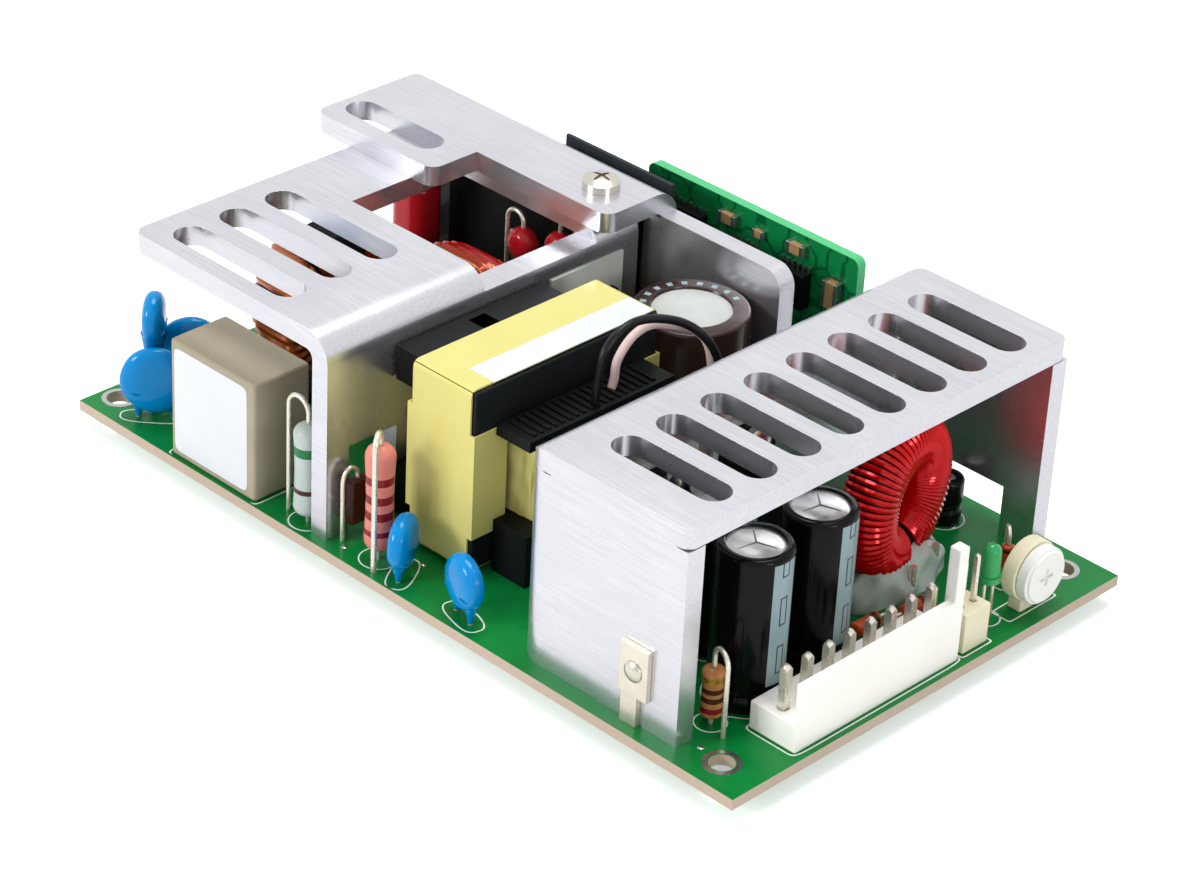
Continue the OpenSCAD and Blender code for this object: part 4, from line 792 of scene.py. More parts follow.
@dataclass
class Board:
    """The main board's print, fixing rings, tinned dots and strokes.

    The outlines follow the parts. The dots and strokes are scattered by a seeded draw
    and stand for no part.
    """

    print_width: float = 0.2
    print_height: float = 0.03
    print_gap: float = 0.6
    ring_width: float = 0.7
    ring_height: float = 0.05
    layout_pitch: float = 2.54
    layout_margin: float = 2.0
    dot_count: int = 60
    dot_seed: int = 7
    dot_profile: tuple[tuple[float, float], ...] = ((0.5, -0.02), (0.42, 0.05), (0.2, 0.1), (0, 0.11))
    tick_count: int = 46
    tick_seed: int = 11
    tick_shift: float = 1.1
    tick_along_x: tuple[float, float] = (1.4, 0.09)
    tick_along_y: tuple[float, float] = (0.09, 1.2)
    loop_points: int = 64
    boxes: tuple[str, ...] = ("box_capacitor", "input_header", "output_header", "signal_header",
                              "film_capacitor", "input_fuse", "lying_diodes", "power_transistors",
                              "output_rectifiers", "trimmer_body")
    rings: tuple[str, ...] = ("bulk_capacitor_sleeve", "output_capacitor_sleeves",
                              "rear_capacitor", "inrush_limiter", "power_resistor",
                              "banded_resistors", "glass_diode", "indicator_lamp")

    def build(self) -> None:
        """Prints the footprints, lays the fixing rings and scatters the dots and strokes."""
        drawn = [self.footprint(s, Outline.BOX) for node in self.boxes for s in solids(node)]
        drawn += [self.footprint(s, Outline.RING) for node in self.rings for s in solids(node)]
        drawn += [self.disc_outline(seat) for seat in DippedDiscs().seats]
        add_piece("board_print", joined(drawn), "print_white")
        add_piece("fixing_rings", joined(self.hole_rings()), "solder")
        add_piece("test_dots", joined(self.dots()), "solder")
        add_piece("print_ticks", joined(self.ticks()), "print_white")

    def scattered(self, count: int, seed: int) -> Array:
        """Draws places on the board, in rows as far apart as a layout grid has them.

        Args:
            count: How many places.
            seed: What the draw starts from.

        Returns:
            The places' X and Y.
        """
        low, high = self.room()
        pick = np.random.RandomState(seed).rand(count, 2)
        span = high - low - 2 * self.layout_margin
        return np.round((low + self.layout_margin + pick * span) / self.layout_pitch) * self.layout_pitch

    def dots(self) -> list[Surface]:
        """Sets small tinned domes, as where leads and vias come through."""
        return [turned(self.dot_profile, (x, y, BOARD_TOP), Axis.Z, 10)
                for x, y in self.scattered(self.dot_count, self.dot_seed)]

    def ticks(self) -> list[Surface]:
        """Prints short plain strokes, along X or Y by turns.

        Returns:
            The strokes.
        """
        strokes = []
        for number, (x, y) in enumerate(self.scattered(self.tick_count, self.tick_seed)
                                        + self.tick_shift):
            run = self.tick_along_x if number % 2 else self.tick_along_y
            strokes.append(block((x - run[0] / 2, y - run[1] / 2, BOARD_TOP - 0.01),
                                 (x + run[0] / 2, y + run[1] / 2, BOARD_TOP + 0.02)))
        return strokes

    def footprint(self, solid: Solid, outline: Outline) -> Surface:
        """Draws one part's outline, a box with rounded corners or a ring.

        Both are |x/a|^n + |y/b|^n = 1, with n = 2 for a ring and 14 for a box.

        Args:
            solid: The part's solid.
            outline: Which of the two.

        Returns:
            The printed line.
        """
        a, b = (solid.size[:2] / 2 + self.print_gap).tolist()
        power = 2 / (2.0 if outline is Outline.RING else 14.0)
        return self.loop(solid.centre[:2], (a, b), power)

    def disc_outline(self, seat: DiscSeat) -> Surface:
        """Draws the long oval under a standing disc capacitor, along its own width.

        Args:
            seat: Where the disc stands.

        Returns:
            The printed line.
        """
        a = math.radians(seat.turn)
        turn = np.array([[math.cos(a), math.sin(a)], [-math.sin(a), math.cos(a)]])
        return self.loop(np.array([seat.x, seat.y]), (seat.diameter / 2, 1.9), 0.7, turn)

    def loop(self, centre: Array, half: tuple[float, float], power: float,
             turn: Array | None = None) -> Surface:
        """Lays a flat closed line on the board.

        x(t) = a * sign(cos t) * |cos t|^power, y(t) = b * sign(sin t) * |sin t|^power.

        Args:
            centre: The middle, X and Y.
            half: The half sides a and b.
            power: 1 for an oval, near 0 for a box.
            turn: A 2 by 2 turn, or None.

        Returns:
            The line as a low closed strip.
        """
        t = np.linspace(0, 2 * np.pi, self.loop_points, endpoint=False)
        shape = np.stack([np.sign(f) * np.abs(f) ** power for f in (np.cos(t), np.sin(t))], -1)
        rows = []
        for grow, height in ((0, 0), (0, 1), (1, 1), (1, 0)):
            flat = shape * (np.array(half) - self.print_width * (1 - grow))
            flat = flat if turn is None else flat @ turn
            level = np.full((self.loop_points, 1), BOARD_TOP + self.print_height * (height - 0.3))
            rows.append(np.concatenate([np.clip(flat + centre, *self.room()), level], 1))
        return grid(np.stack(rows), closed=True)

    def room(self) -> tuple[Array, Array]:
        """Gives the board's two corners, a little inside its edge."""
        low, high = (np.array(corner)[:2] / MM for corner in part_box("main_board"))
        return low + 0.4, high - 0.4

    def hole_rings(self) -> list[Surface]:
        """Makes a tinned ring round each fixing hole, on both faces.

        Returns:
            The rings.
        """
        mount = next(m for m in frame["record"]["mounts"] if m["name"] == "corner_screws")
        middle = np.array(mount["pos_m"][:2]) / MM
        sizes = mount["dims"]
        spacing = np.array([sizes["spacing_x_mm"], sizes["spacing_y_mm"]])
        hole = sizes["hole_r_mm"] + 0.15
        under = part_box("main_board")[0].z / MM
        found = []
        for sx in (-0.5, 0.5):
            for sy in (-0.5, 0.5):
                x, y = middle + spacing * (sx, sy)
                for level, lift in ((BOARD_TOP, self.ring_height), (under, -self.ring_height)):
                    profile = [(hole, -lift), (hole, lift), (hole + self.ring_width, lift),
                               (hole + self.ring_width, -lift)]
                    found.append(turned(profile, (x, y, level)))
        return found


@dataclass
class Heatsinks:
    """The three folded sheets and their screws, with rounded edges."""

    sheet_rounding: float = 0.6
    sheet_thickness: float = 3.0
    corner_radius: float = 2.0
    filler_from_rear: float = 5.2
    filler_depth: float = 1.2
    lug_rounding: float = 0.12
    rivet_rounding: float = 0.2
    screw_rounding: float = 0.22
    dark_sheet_side: float = 0.22

    def build(self) -> None:
        """Rounds the sheets, the screws and the lug, and adds the dark wall sheet and the filler."""
        for node in ("heatsink_primary", "heatsink_rear", "heatsink_output"):
            round_corners(soften(node, self.sheet_rounding), self.sheet_thickness,
                          self.corner_radius)
        self.dark_wall_sheet()
        self.fold_filler()
        soften("heatsink_screws", self.screw_rounding)
        soften("ground_lug", self.lug_rounding)
        soften("lug_rivet", self.rivet_rounding)

    def dark_wall_sheet(self) -> None:
        """Lays a thin black sheet over the rear wall behind the rectifier's pad, so that the wall reads
        black there.
        """
        pad = max(solids("insulating_pads"), key=lambda s: s.size[0])
        wall = pad.high[1]
        low = (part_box("heatsink_rear")[0].x / MM + 0.4, wall - self.dark_sheet_side, BOARD_TOP + 2.5)
        high = (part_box("heatsink_primary")[1].x / MM - 0.4, wall - 0.02, BOARD_TOP + 29.0)
        add_piece("rear_wall_dark_sheet", block(low, high), "black_sleeve")


    def fold_filler(self) -> None:
        """Closes the hairline under the output heatsink's top, along its two side walls.

        The strips start past the rear fold, so a short end of the hairline stays open.
        """
        low, high = (np.array(corner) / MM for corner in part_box("heatsink_output"))
        under = high[2] - self.sheet_thickness
        strips = []
        for edge, inward in ((low[1], 1), (high[1], -1)):
            y = sorted((edge + inward * 0.015, edge + inward * self.filler_depth))
            strips.append(block((low[0] + self.filler_from_rear, y[0], under - 0.2),
                                (high[0] - self.corner_radius, y[1], under + 0.05)))
        add_piece("output_fold_filler", joined(strips), "heatsink_sheet")


@dataclass
class Leads:
    """The round leads, pins and joints, and the small dipped parts that hang on them."""

    nodes: tuple[str, ...] = ("input_leads", "output_leads", "output_choke_leads",
                              "dipped_capacitors", "indicator_lamp", "heatsink_pins",
                              "solder_joints")

    def build(self) -> None:
        """Shades each as a smooth round form, with its shape kept."""
        for node in self.nodes:
            soften(node, 0.0)


@dataclass
class Toroid:
    """A ring core measured from its node: centre, axis and section."""

    node: str
    centre: Array = field(init=False)
    axis: Array = field(init=False)
    out: Array = field(init=False)

    def __post_init__(self) -> None:
        """Takes the axis as the way in which the solid spreads least."""
        points = welded(self.node).points
        self.centre = (points.min(0) + points.max(0)) / 2
        self.axis = np.linalg.svd(points - points.mean(0), full_matrices=False)[2][2]
        self.axis[2] = 0.0
        self.axis /= np.linalg.norm(self.axis)
        self.out = np.cross(np.array([0.0, 0.0, 1.0]), self.axis)

    def limits(self, node: str) -> tuple[float, float, float]:
        """Measures a node about the axis.

        Args:
            node: The CAD node.

        Returns:
            Its inner radius, outer radius and half width.
        """
        held = welded(node).points - self.centre
        along = held @ self.axis
        radial = np.hypot(held @ self.out, held[:, 2])
        return radial.min(), radial.max(), np.abs(along).max()

    def coil(self, reach: tuple[float, float, float], wire: float, turns: int,
             arc: tuple[float, float], squareness: float, sides: int = 6, steps: int = 22
             ) -> Surface:
        """Winds a wire round the ring.

        Seen along the ring, each turn is |r/a|^n + |w/b|^n = 1 about the middle of
        the section; the angle round the axis grows evenly with the wire.

        Args:
            reach: Inner radius, outer radius and half width that the wire fills.
            wire: The wire's radius.
            turns: How many turns.
            arc: First and last angle, in degrees from the outward side.
            squareness: 2 for a round section, more for a square one.
            sides: Points round the wire.
            steps: Points for each turn.

        Returns:
            The winding.
        """
        inner, outer, half = reach[0] + wire, reach[1] - wire, reach[2] - wire
        t = np.linspace(0, turns, turns * steps + 1)
        c, s = np.cos(2 * np.pi * t), np.sin(2 * np.pi * t)
        power = 2 / squareness
        radial = (inner + outer) / 2 + (outer - inner) / 2 * np.sign(c) * np.abs(c) ** power
        width = half * np.sign(s) * np.abs(s) ** power
        angle = np.radians(arc[0] + (arc[1] - arc[0]) * t / turns)
        spoke = np.cos(angle)[:, None] * self.out + np.sin(angle)[:, None] * np.array([0, 0, 1.0])
        round_way = np.cos(angle)[:, None] * np.array([0, 0, 1.0]) - np.sin(angle)[:, None] * self.out
        path = self.centre + radial[:, None] * spoke + width[:, None] * self.axis
        return tube(path, wire, sides, round_way)


@dataclass
class Chokes:
    """The three wound rings."""

    square_section: float = 5.0
    round_section: float = 2.0
    boost_arc: tuple[float, float] = (-86, 266)
    gold_glint_arc: tuple[float, float] = (-82.2, 269.8)
    output_arc: tuple[float, float] = (-82, 262)
    line_turns: int = 15
    line_wire: float = 0.58
    line_arc: float = 66.0
    boost_turns: int = 46
    boost_wire: float = 0.56
    gold_glint_wire: float = 0.26
    output_turns: int = 68
    output_wire: float = 0.4
    base_rounding: float = 0.3

    def build(self) -> None:
        """Winds the line choke, the boost choke and the output choke."""
        line = Toroid("line_choke_core")
        reach = line.limits("line_choke_windings")
        halves = [line.coil(reach, self.line_wire, self.line_turns,
                            (start - self.line_arc, start + self.line_arc), self.square_section)
                  for start in (0, 180)]
        add_piece("line_choke_turns", joined(halves), "copper_wire",
                  stands_for=("line_choke_windings",))
        boost = Toroid("boost_choke_core")
        turns = boost.coil(boost.limits("boost_choke_winding"), self.boost_wire, self.boost_turns,
                           self.boost_arc, self.square_section)
        add_piece("boost_choke_turns", turns, "wine_wire",
                  stands_for=("boost_choke_winding",))
        # The gold strand between the red turns is a painted highlight: it stands for the copper's
        # glints.
        inner, outer, half = boost.limits("boost_choke_winding")
        lines = boost.coil((inner + 0.1, outer - 0.22, half - 0.22), self.gold_glint_wire,
                           self.boost_turns, self.gold_glint_arc, self.square_section, sides=5)
        add_piece("boost_choke_gold_glints", lines, "gold_glint_wire")
        ring = Toroid("output_choke_core")
        turns = ring.coil(ring.limits("output_choke_winding"), self.output_wire,
                          self.output_turns, self.output_arc, self.round_section)
        add_piece("output_choke_turns", turns, "red_enamel",
                  stands_for=("output_choke_winding",))
        for node in ("line_choke_base", "boost_choke_base"):
            soften(node, self.base_rounding)


@dataclass(frozen=True)
class DiscSeat:
    """Where a disc capacitor stands: centre, height, turn about Z in degrees, and diameter."""

    x: float
    y: float
    lift: float
    turn: float
    diameter: float


@dataclass
class DippedDiscs:
    """Disc capacitors in blue dip: domed both sides, with a drip down each lead.

    The seats repeat the part's source, because two discs touch there and make one solid.
    """

    seats: tuple[DiscSeat, ...] = (
        DiscSeat(-52.9, -32.8, 5.9, 43, 10.4),
        DiscSeat(-57.0, -29.6, 13.0, -47, 8.0),
        DiscSeat(-55.4, -24.2, 7.0, 43, 9.8),
        DiscSeat(-0.1, -34.2, 5.1, -60, 8.0),
        DiscSeat(12.6, -35.1, 5.4, -15, 8.0),
    )
    thickness: float = 3.2
    flatness: float = 0.55
    waviness: float = 0.016
    lead_share: float = 0.48
    tail_top: float = 1.7
    tail_foot: float = 0.42
    tail_lift: float = 0.2

    def build(self) -> None:
        """Makes the discs and their drips as one piece."""
        made = []
        for number, seat in enumerate(self.seats):
            made.append(self.disc(seat, number))
            made += self.tails(seat)
        add_piece("dipped_discs", joined(made), "blue_dip",
                  stands_for=("disc_capacitors",))

    def ways(self, seat: DiscSeat) -> tuple[Array, Array]:
        """Gives the disc's sideways direction and the direction across it."""
        a = math.radians(seat.turn)
        return np.array([math.cos(a), math.sin(a), 0.0]), np.array([-math.sin(a), math.cos(a), 0.0])

    def disc(self, seat: DiscSeat, number: int) -> Surface:
        """Makes one disc.

        In its own plane the edge is R * (1 - waves(u)); across it, the radius is
        R * |cos v|^flatness and the height is half the thickness times sin v.

        Args:
            seat: Where the disc stands.
            number: Its place in the row, which sets how it waves.

        Returns:
            The disc.
        """
        beside, across = self.ways(seat)
        u = np.linspace(0, 2 * np.pi, 72, endpoint=False)[None, :]
        v = np.linspace(-np.pi / 2, np.pi / 2, 25)[:, None]
        waves = 1 - self.waviness * (1 + 0.6 * np.sin(3 * u + number) + 0.4 * np.sin(5 * u + 2 * number))
        edge = seat.diameter / 2 * waves * np.abs(np.cos(v)) ** self.flatness
        depth = self.thickness / 2 * np.sign(np.sin(v)) * np.abs(np.sin(v)) ** 0.85 * np.ones_like(u)
        middle = np.array([seat.x, seat.y, BOARD_TOP + seat.lift])
        up = np.array([0, 0, 1.0])
        points = (middle + (edge * np.cos(u))[..., None] * beside
                  + (edge * np.sin(u))[..., None] * up + depth[..., None] * across)
        return grid(points, closed=True)

    def tails(self, seat: DiscSeat) -> list[Surface]:
        """Runs the dip down each lead: radius(t) falls from the disc as (1 - t)^1.6.

        Args:
            seat: Where the disc stands.

        Returns:
            The two tails.
        """
        beside, across = self.ways(seat)
        t = np.linspace(0, 1, 12)
        radius = self.tail_foot + (self.tail_top - self.tail_foot) * (1 - t) ** 1.6
        found = []
        for side in (-1, 1):
            foot = np.array([seat.x, seat.y, BOARD_TOP + self.tail_lift])
            foot += side * seat.diameter / 2 * self.lead_share * beside
            rise = (seat.lift - self.tail_lift - 0.3 * seat.diameter / 2) * (1 - t)
            path = foot + rise[:, None] * np.array([0, 0, 1.0])
            found.append(tube(path, radius, 14, across))
        return found


@dataclass(frozen=True)
class Rim:
    """How a sleeve rolls over its can: the rounding, then a flat rim."""

    rounding: float
    width: float

    def inner(self, solid: Solid) -> float:
        """Gives the radius at which the rim ends and the can's top shows."""
        return solid.size[0] / 2 - self.rounding - self.width


@dataclass
class Cans:
    """The electrolytic capacitors: shrunk sleeves, scored tops and polarity stripes."""

    bulk_rim: Rim = Rim(0.45, 2.0)
    slim_rim: Rim = Rim(0.7, 0.4)
    bulk_step: float = 0.9
    top_drop: float = 0.35
    groove_height: float = 2.6
    groove_depth: float = 0.3
    score_degrees: tuple[float, ...] = (20, 140, 260)
    dash_count: int = 9
    dash_span: tuple[float, float] = (70, 215)
    dash_half_turn: float = 0.06
    dash_half_width: float = 0.45
    stripe_facing: tuple[float, ...] = (4.0, 8.0, 2.0)
    stripe_foot: float = 4.2
    stripe_step: float = 0.11
    stripe_columns: int = 36
    stripe_width: float = 3.9
    mark_pitch: float = 7.2
    mark_length: float = 4.2
    mark_width: float = 1.2
    mark_line: float = 0.22

    def build(self) -> None:
        """Makes the bulk capacitor, the three output capacitors and the rear one."""
        bulk = solids("bulk_capacitor_sleeve")
        add_piece("bulk_sleeve", joined(self.sleeve(s, self.bulk_rim) for s in bulk),
                  "brown_sleeve", stands_for=("bulk_capacitor_sleeve",))
        add_piece("bulk_vent", joined(self.top(s, self.bulk_rim, self.bulk_step) for s in bulk),
                  "vent_grey", stands_for=("bulk_capacitor_can",))
        self.dashes(bulk[0], self.bulk_rim)
        slim = self.slim_rim
        output = solids("output_capacitor_sleeves")
        add_piece("output_sleeves", joined(self.sleeve(s, slim) for s in output), "black_sleeve",
                  stands_for=("output_capacitor_sleeves",))
        add_piece("output_can_tops", joined(self.top(s, slim) for s in output), "can_aluminium",
                  stands_for=("output_capacitor_cans",))
        add_piece("output_can_scores", joined(line for s in output for line in self.scores(s, slim)),
                  "score_dark")
        rear = solids("rear_capacitor")
        add_piece("rear_sleeve", joined(self.sleeve(s, slim) for s in rear), "black_sleeve",
                  stands_for=("rear_capacitor",))
        add_piece("rear_can_top", joined(self.top(s, slim) for s in rear), "can_aluminium")
        for number, (solid, facing) in enumerate(zip(output, self.stripe_facing)):
            self.stripe(solid, facing, number)

    def sleeve(self, solid: Solid, rim: Rim) -> Surface:
        """Turns the sleeve: tucked under, pinched above the seal, rolled over the rim.

        The pinch is r(t) = R - depth * (1 + cos(pi t)) / 2 for t from -1 to 1.

        Args:
            solid: The sleeve's solid.
            rim: How it ends at the top.

        Returns:
            The sleeve.
        """
        r, z0, z1 = solid.size[0] / 2, solid.low[2], solid.high[2]
        drop = self.top_drop
        t = np.linspace(-1, 1, 9)
        pinch = np.stack([r - self.groove_depth * (1 + np.cos(np.pi * t)) / 2,
                          z0 + self.groove_height + 0.9 * t], -1)
        under = lip(r, 0, 0.5, 4)[::-1] * (1, -1) + (0, z0)
        over = lip(r, z1, rim.rounding)
        inner = rim.inner(solid)
        inside = [(inner, z1), (inner - 0.15, z1 - drop), (inner - 0.4, z1 - drop - 0.2)]
        profile = np.concatenate([[(0, z0 + 0.3), (r - 1.4, z0 + 0.3), (r - 1.2, z0)], under, pinch,
                                  over, inside])
        return turned(profile, (solid.centre[0], solid.centre[1], 0))

    def top(self, solid: Solid, rim: Rim, step: float = 0.0) -> Surface:
        """Turns the can's top inside the sleeve's rim, as a profile of radius and height.

        Args:
            solid: The sleeve's solid.
            rim: How the sleeve ends.
            step: How much further in the raised middle starts.

        Returns:
            The top.
        """
        r = rim.inner(solid) + 0.05
        z = solid.high[2] - self.top_drop
        profile = [(0, z + 0.12), (r - step - 0.9, z + 0.12), (r - step - 0.6, z), (r - 0.25, z),
                   (r, z - 0.2), (r, z - 0.8), (0, z - 0.8)]
        return turned(profile, (solid.centre[0], solid.centre[1], 0))

    def scores(self, solid: Solid, rim: Rim) -> list[Surface]:
        """Lays shallow score lines that meet in the middle of the top, dark grey as painted shade of the
        pressed grooves.

        Args:
            solid: The sleeve's solid.
            rim: How the sleeve ends.

        Returns:
            The lines, each thinner outwards.
        """
        z = solid.high[2] - self.top_drop + 0.125
        r = rim.inner(solid) - 1.2
        lines = []
        for angle in np.radians(self.score_degrees):
            out = np.array([math.cos(angle), math.sin(angle), 0])
            t = np.linspace(0.02, 1, 6)[:, None]
            path = np.array([*solid.centre[:2], z]) + t * r * out
            lines.append(tube(path, np.linspace(0.14, 0.07, 6), 6, np.array([0, 0, 1.0])))
        return lines

    def dashes(self, solid: Solid, rim: Rim) -> None:
        """Prints a row of short pale dashes round the back of the sleeve's flat rim.

        Args:
            solid: The sleeve's solid.
            rim: The rim that they are printed on.
        """
        middle = solid.size[0] / 2 - rim.rounding - rim.width / 2
        made = []
        for angle in np.radians(np.linspace(*self.dash_span, self.dash_count)):
            a = angle + np.linspace(-self.dash_half_turn, self.dash_half_turn, 5)
            rows = [np.stack([solid.centre[0] + r * np.cos(a), solid.centre[1] + r * np.sin(a),
                              np.full(5, solid.high[2] + 0.012)], -1)
                    for r in (middle - self.dash_half_width, middle + self.dash_half_width)]
            made.append(grid(np.stack(rows)[:, ::-1]))
        add_piece("bulk_rim_dashes", joined(made), "sleeve_stripe",
                  mend_normals=False)

    def stripe(self, solid: Solid, facing: float, number: int) -> None:
        """Wraps the polarity stripe and its bar outlines over a sleeve's side.

        p(a, z) = centre + (r + lift) * (cos a, sin a). A face is on an outline where
        its distance to the bar's edge is between 0 and the line's width.

        Args:
            solid: The sleeve's solid.
            facing: The stripe's middle, in degrees from +X.
            number: The capacitor's number.
        """
        r = solid.size[0] / 2 + 0.02
        z0, z1 = solid.low[2] + self.stripe_foot, solid.high[2] - self.slim_rim.rounding - 0.1
        half = self.stripe_width / 2 / r
        rows, columns = int((z1 - z0) / self.stripe_step), self.stripe_columns
        a = math.radians(facing) + np.linspace(-half, half, columns + 1)
        z = np.linspace(z0, z1, rows + 1)
        level, angle = np.meshgrid(z, a, indexing="ij")
        points = np.stack([solid.centre[0] + r * np.cos(angle), solid.centre[1] + r * np.sin(angle),
                           level], -1)
        up = np.abs(np.mod((z[:-1] + z[1:]) / 2 - z0, self.mark_pitch) - self.mark_pitch / 2)
        side = np.abs((a[:-1] + a[1:]) / 2 - math.radians(facing)) * r
        reach = np.maximum(up[:, None] - self.mark_length / 2, side[None, :] - self.mark_width / 2)
        marked = ((reach < 0) & (reach > -self.mark_line)).ravel().astype(int)
        add_piece(f"output_stripe_{number + 1}", grid(points), "sleeve_stripe",
                  tones=("stripe_mark",), tone_of=marked, mend_normals=False)


@dataclass
class Transformer:
    """The switching transformer: core, bobbin, wrinkled tape and its flying leads."""

    roundings: tuple[tuple[str, float], ...] = (
        ("transformer_core", 0.35), ("transformer_bobbin", 0.25), ("transformer_tape", 0.08))
    lead_radius: float = 0.62
    pale_route: tuple[tuple[float, float, float], ...] = (
        (10, -6.5, 22.5), (10, -6.1, 23.8), (10, -5.6, 26.5), (10, -3.2, 28.9), (10, -0.2, 29.6),
        (10.2, 2.8, 28.9), (11.2, 6.8, 27.2), (12.4, 8.6, 25.6), (13.2, 9.4, 22), (13.4, 9.8, 14),
        (13.4, 9.8, 6), (13.4, 9.8, 0))
    dark_route: tuple[tuple[float, float, float], ...] = (
        (11.6, -11.2, 22.5), (11.6, -11, 25), (11.6, -9.8, 29.8), (11.6, -6.3, 32.2),
        (11.7, -1.8, 32), (12.6, 3.6, 29.9), (14.4, 6.6, 27.2), (15.6, 8.4, 23), (16, 9.4, 16),
        (16, 9.6, 8), (16, 9.6, 0))
    label_lift: float = 0.06
    label_width: float = 5.0
    rib_pitch: float = 1.3
    rib_height: float = 0.3
    rib_share: float = 0.45
    rib_gap: float = 1.2
    rib_margin: float = 1.5
    coil_squareness: float = 7.0
    coil_wrinkle: float = 0.02
    coil_columns: int = 220
    coil_rows: int = 40

    def build(self) -> None:
        """Makes the core, the bobbin, the tape, the label and the two leads."""
        for node, rounding in self.roundings:
            soften(node, rounding)
        self.ribs()
        self.coil_tape()
        self.label()
        self.leads()

    def ribs(self) -> None:
        """Moulds low ribs across the bobbin's top shelf, beside the core."""
        low, high = (np.array(corner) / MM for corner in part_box("transformer_bobbin"))
        beside = self.shelf_side()
        shelf = self.shelf_level()
        count = int((high[1] - low[1] - 2 * self.rib_margin) / self.rib_pitch)
        ribs = []
        for number in range(count):
            y = low[1] + self.rib_margin + number * self.rib_pitch
            ribs.append(block((beside, y, shelf - 0.1),
                              (high[0] - 0.8, y + self.rib_pitch * self.rib_share,
                               shelf + self.rib_height)))
        add_piece("bobbin_ribs", joined(ribs), "black_mould", rounding=0.1)

    def shelf_side(self) -> float:
        """Gives the X at which the shelf comes clear of the core."""
        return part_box("transformer_core")[1].x / MM + self.rib_gap

    def shelf_level(self) -> float:
        """Measures the top of the bobbin's shelf beside the core, from its level faces.

        Returns:
            The height of the highest level face there.
        """
        bobbin = welded("transformer_bobbin")
        corners = bobbin.points[bobbin.faces]
        level = np.ptp(corners[..., 2], axis=1) < 1e-3
        beside = corners[..., 0].mean(1) > self.shelf_side()
        return float(corners[level & beside][..., 2].max())

    def coil_tape(self) -> None:
        """Wraps the coil in tape: a rounded box whose sides carry upright wrinkles.

        Each level is |x/a|^n + |y/b|^n = 1 with n = 7; the radius is eased in and
        out by a sum of sines round the box and up it.
        """
        solid = solids("transformer_winding")[0]
        half = solid.size / 2
        u = np.linspace(0, 2 * np.pi, self.coil_columns, endpoint=False)[None, :]
        w = np.linspace(-1, 1, self.coil_rows)[:, None]
        power = 2 / self.coil_squareness
        shape = [np.sign(f) * np.abs(f) ** power for f in (np.cos(u), np.sin(u))]
        wrinkle = (np.sin(23 * u + 2.2 * w) * 0.5 + np.sin(41 * u - 3 * w) * 0.3
                   + np.sin(11 * u + 9 * w) * 0.4)
        ease = 1 - self.coil_wrinkle * (1 + wrinkle * (1 - w ** 2 * 0.5))
        flat = np.ones_like(w)
        points = np.stack([solid.centre[0] + half[0] * ease * shape[0] * flat,
                           solid.centre[1] + half[1] * ease * shape[1] * flat,
                           solid.centre[2] + half[2] * w * np.ones_like(u)], -1)
        ends = [points[:1].mean(1, keepdims=True).repeat(self.coil_columns, 1), points,
                points[-1:].mean(1, keepdims=True).repeat(self.coil_columns, 1)]
        add_piece("coil_tape", grid(np.concatenate(ends), closed=True), "yellow_tape",
                  stands_for=("transformer_winding",))

    def label(self) -> None:
        """Sticks a bare white strip on the tape across the top of the core."""
        low, high = (np.array(corner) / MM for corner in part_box("transformer_core"))
        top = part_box("transformer_tape")[1].z / MM
        surface = block((high[0] - self.label_width, low[1] + 3.5, top - 0.02),
                        (high[0] - 0.3, high[1] - 0.6, top + self.label_lift))
        add_piece("core_label", surface, "label_white", rounding=0.02)

    def leads(self) -> None:
        """Runs the two flying leads from the bobbin's top down to the board."""
        for name, node, route in (
                ("pale_flying_lead", "flying_lead_pale", self.pale_route),
                ("dark_flying_lead", "flying_lead_dark", self.dark_route)):
            path = smooth_path(np.array(route) + (0, 0, BOARD_TOP), 8)
            add_piece(name, tube(path, self.lead_radius, 14), SLOTS[node],
                      stands_for=(node,))


@dataclass(frozen=True)
class Band:
    """A painted band: its middle and width as shares of the body's length."""

    middle: float
    width: float
    look: str


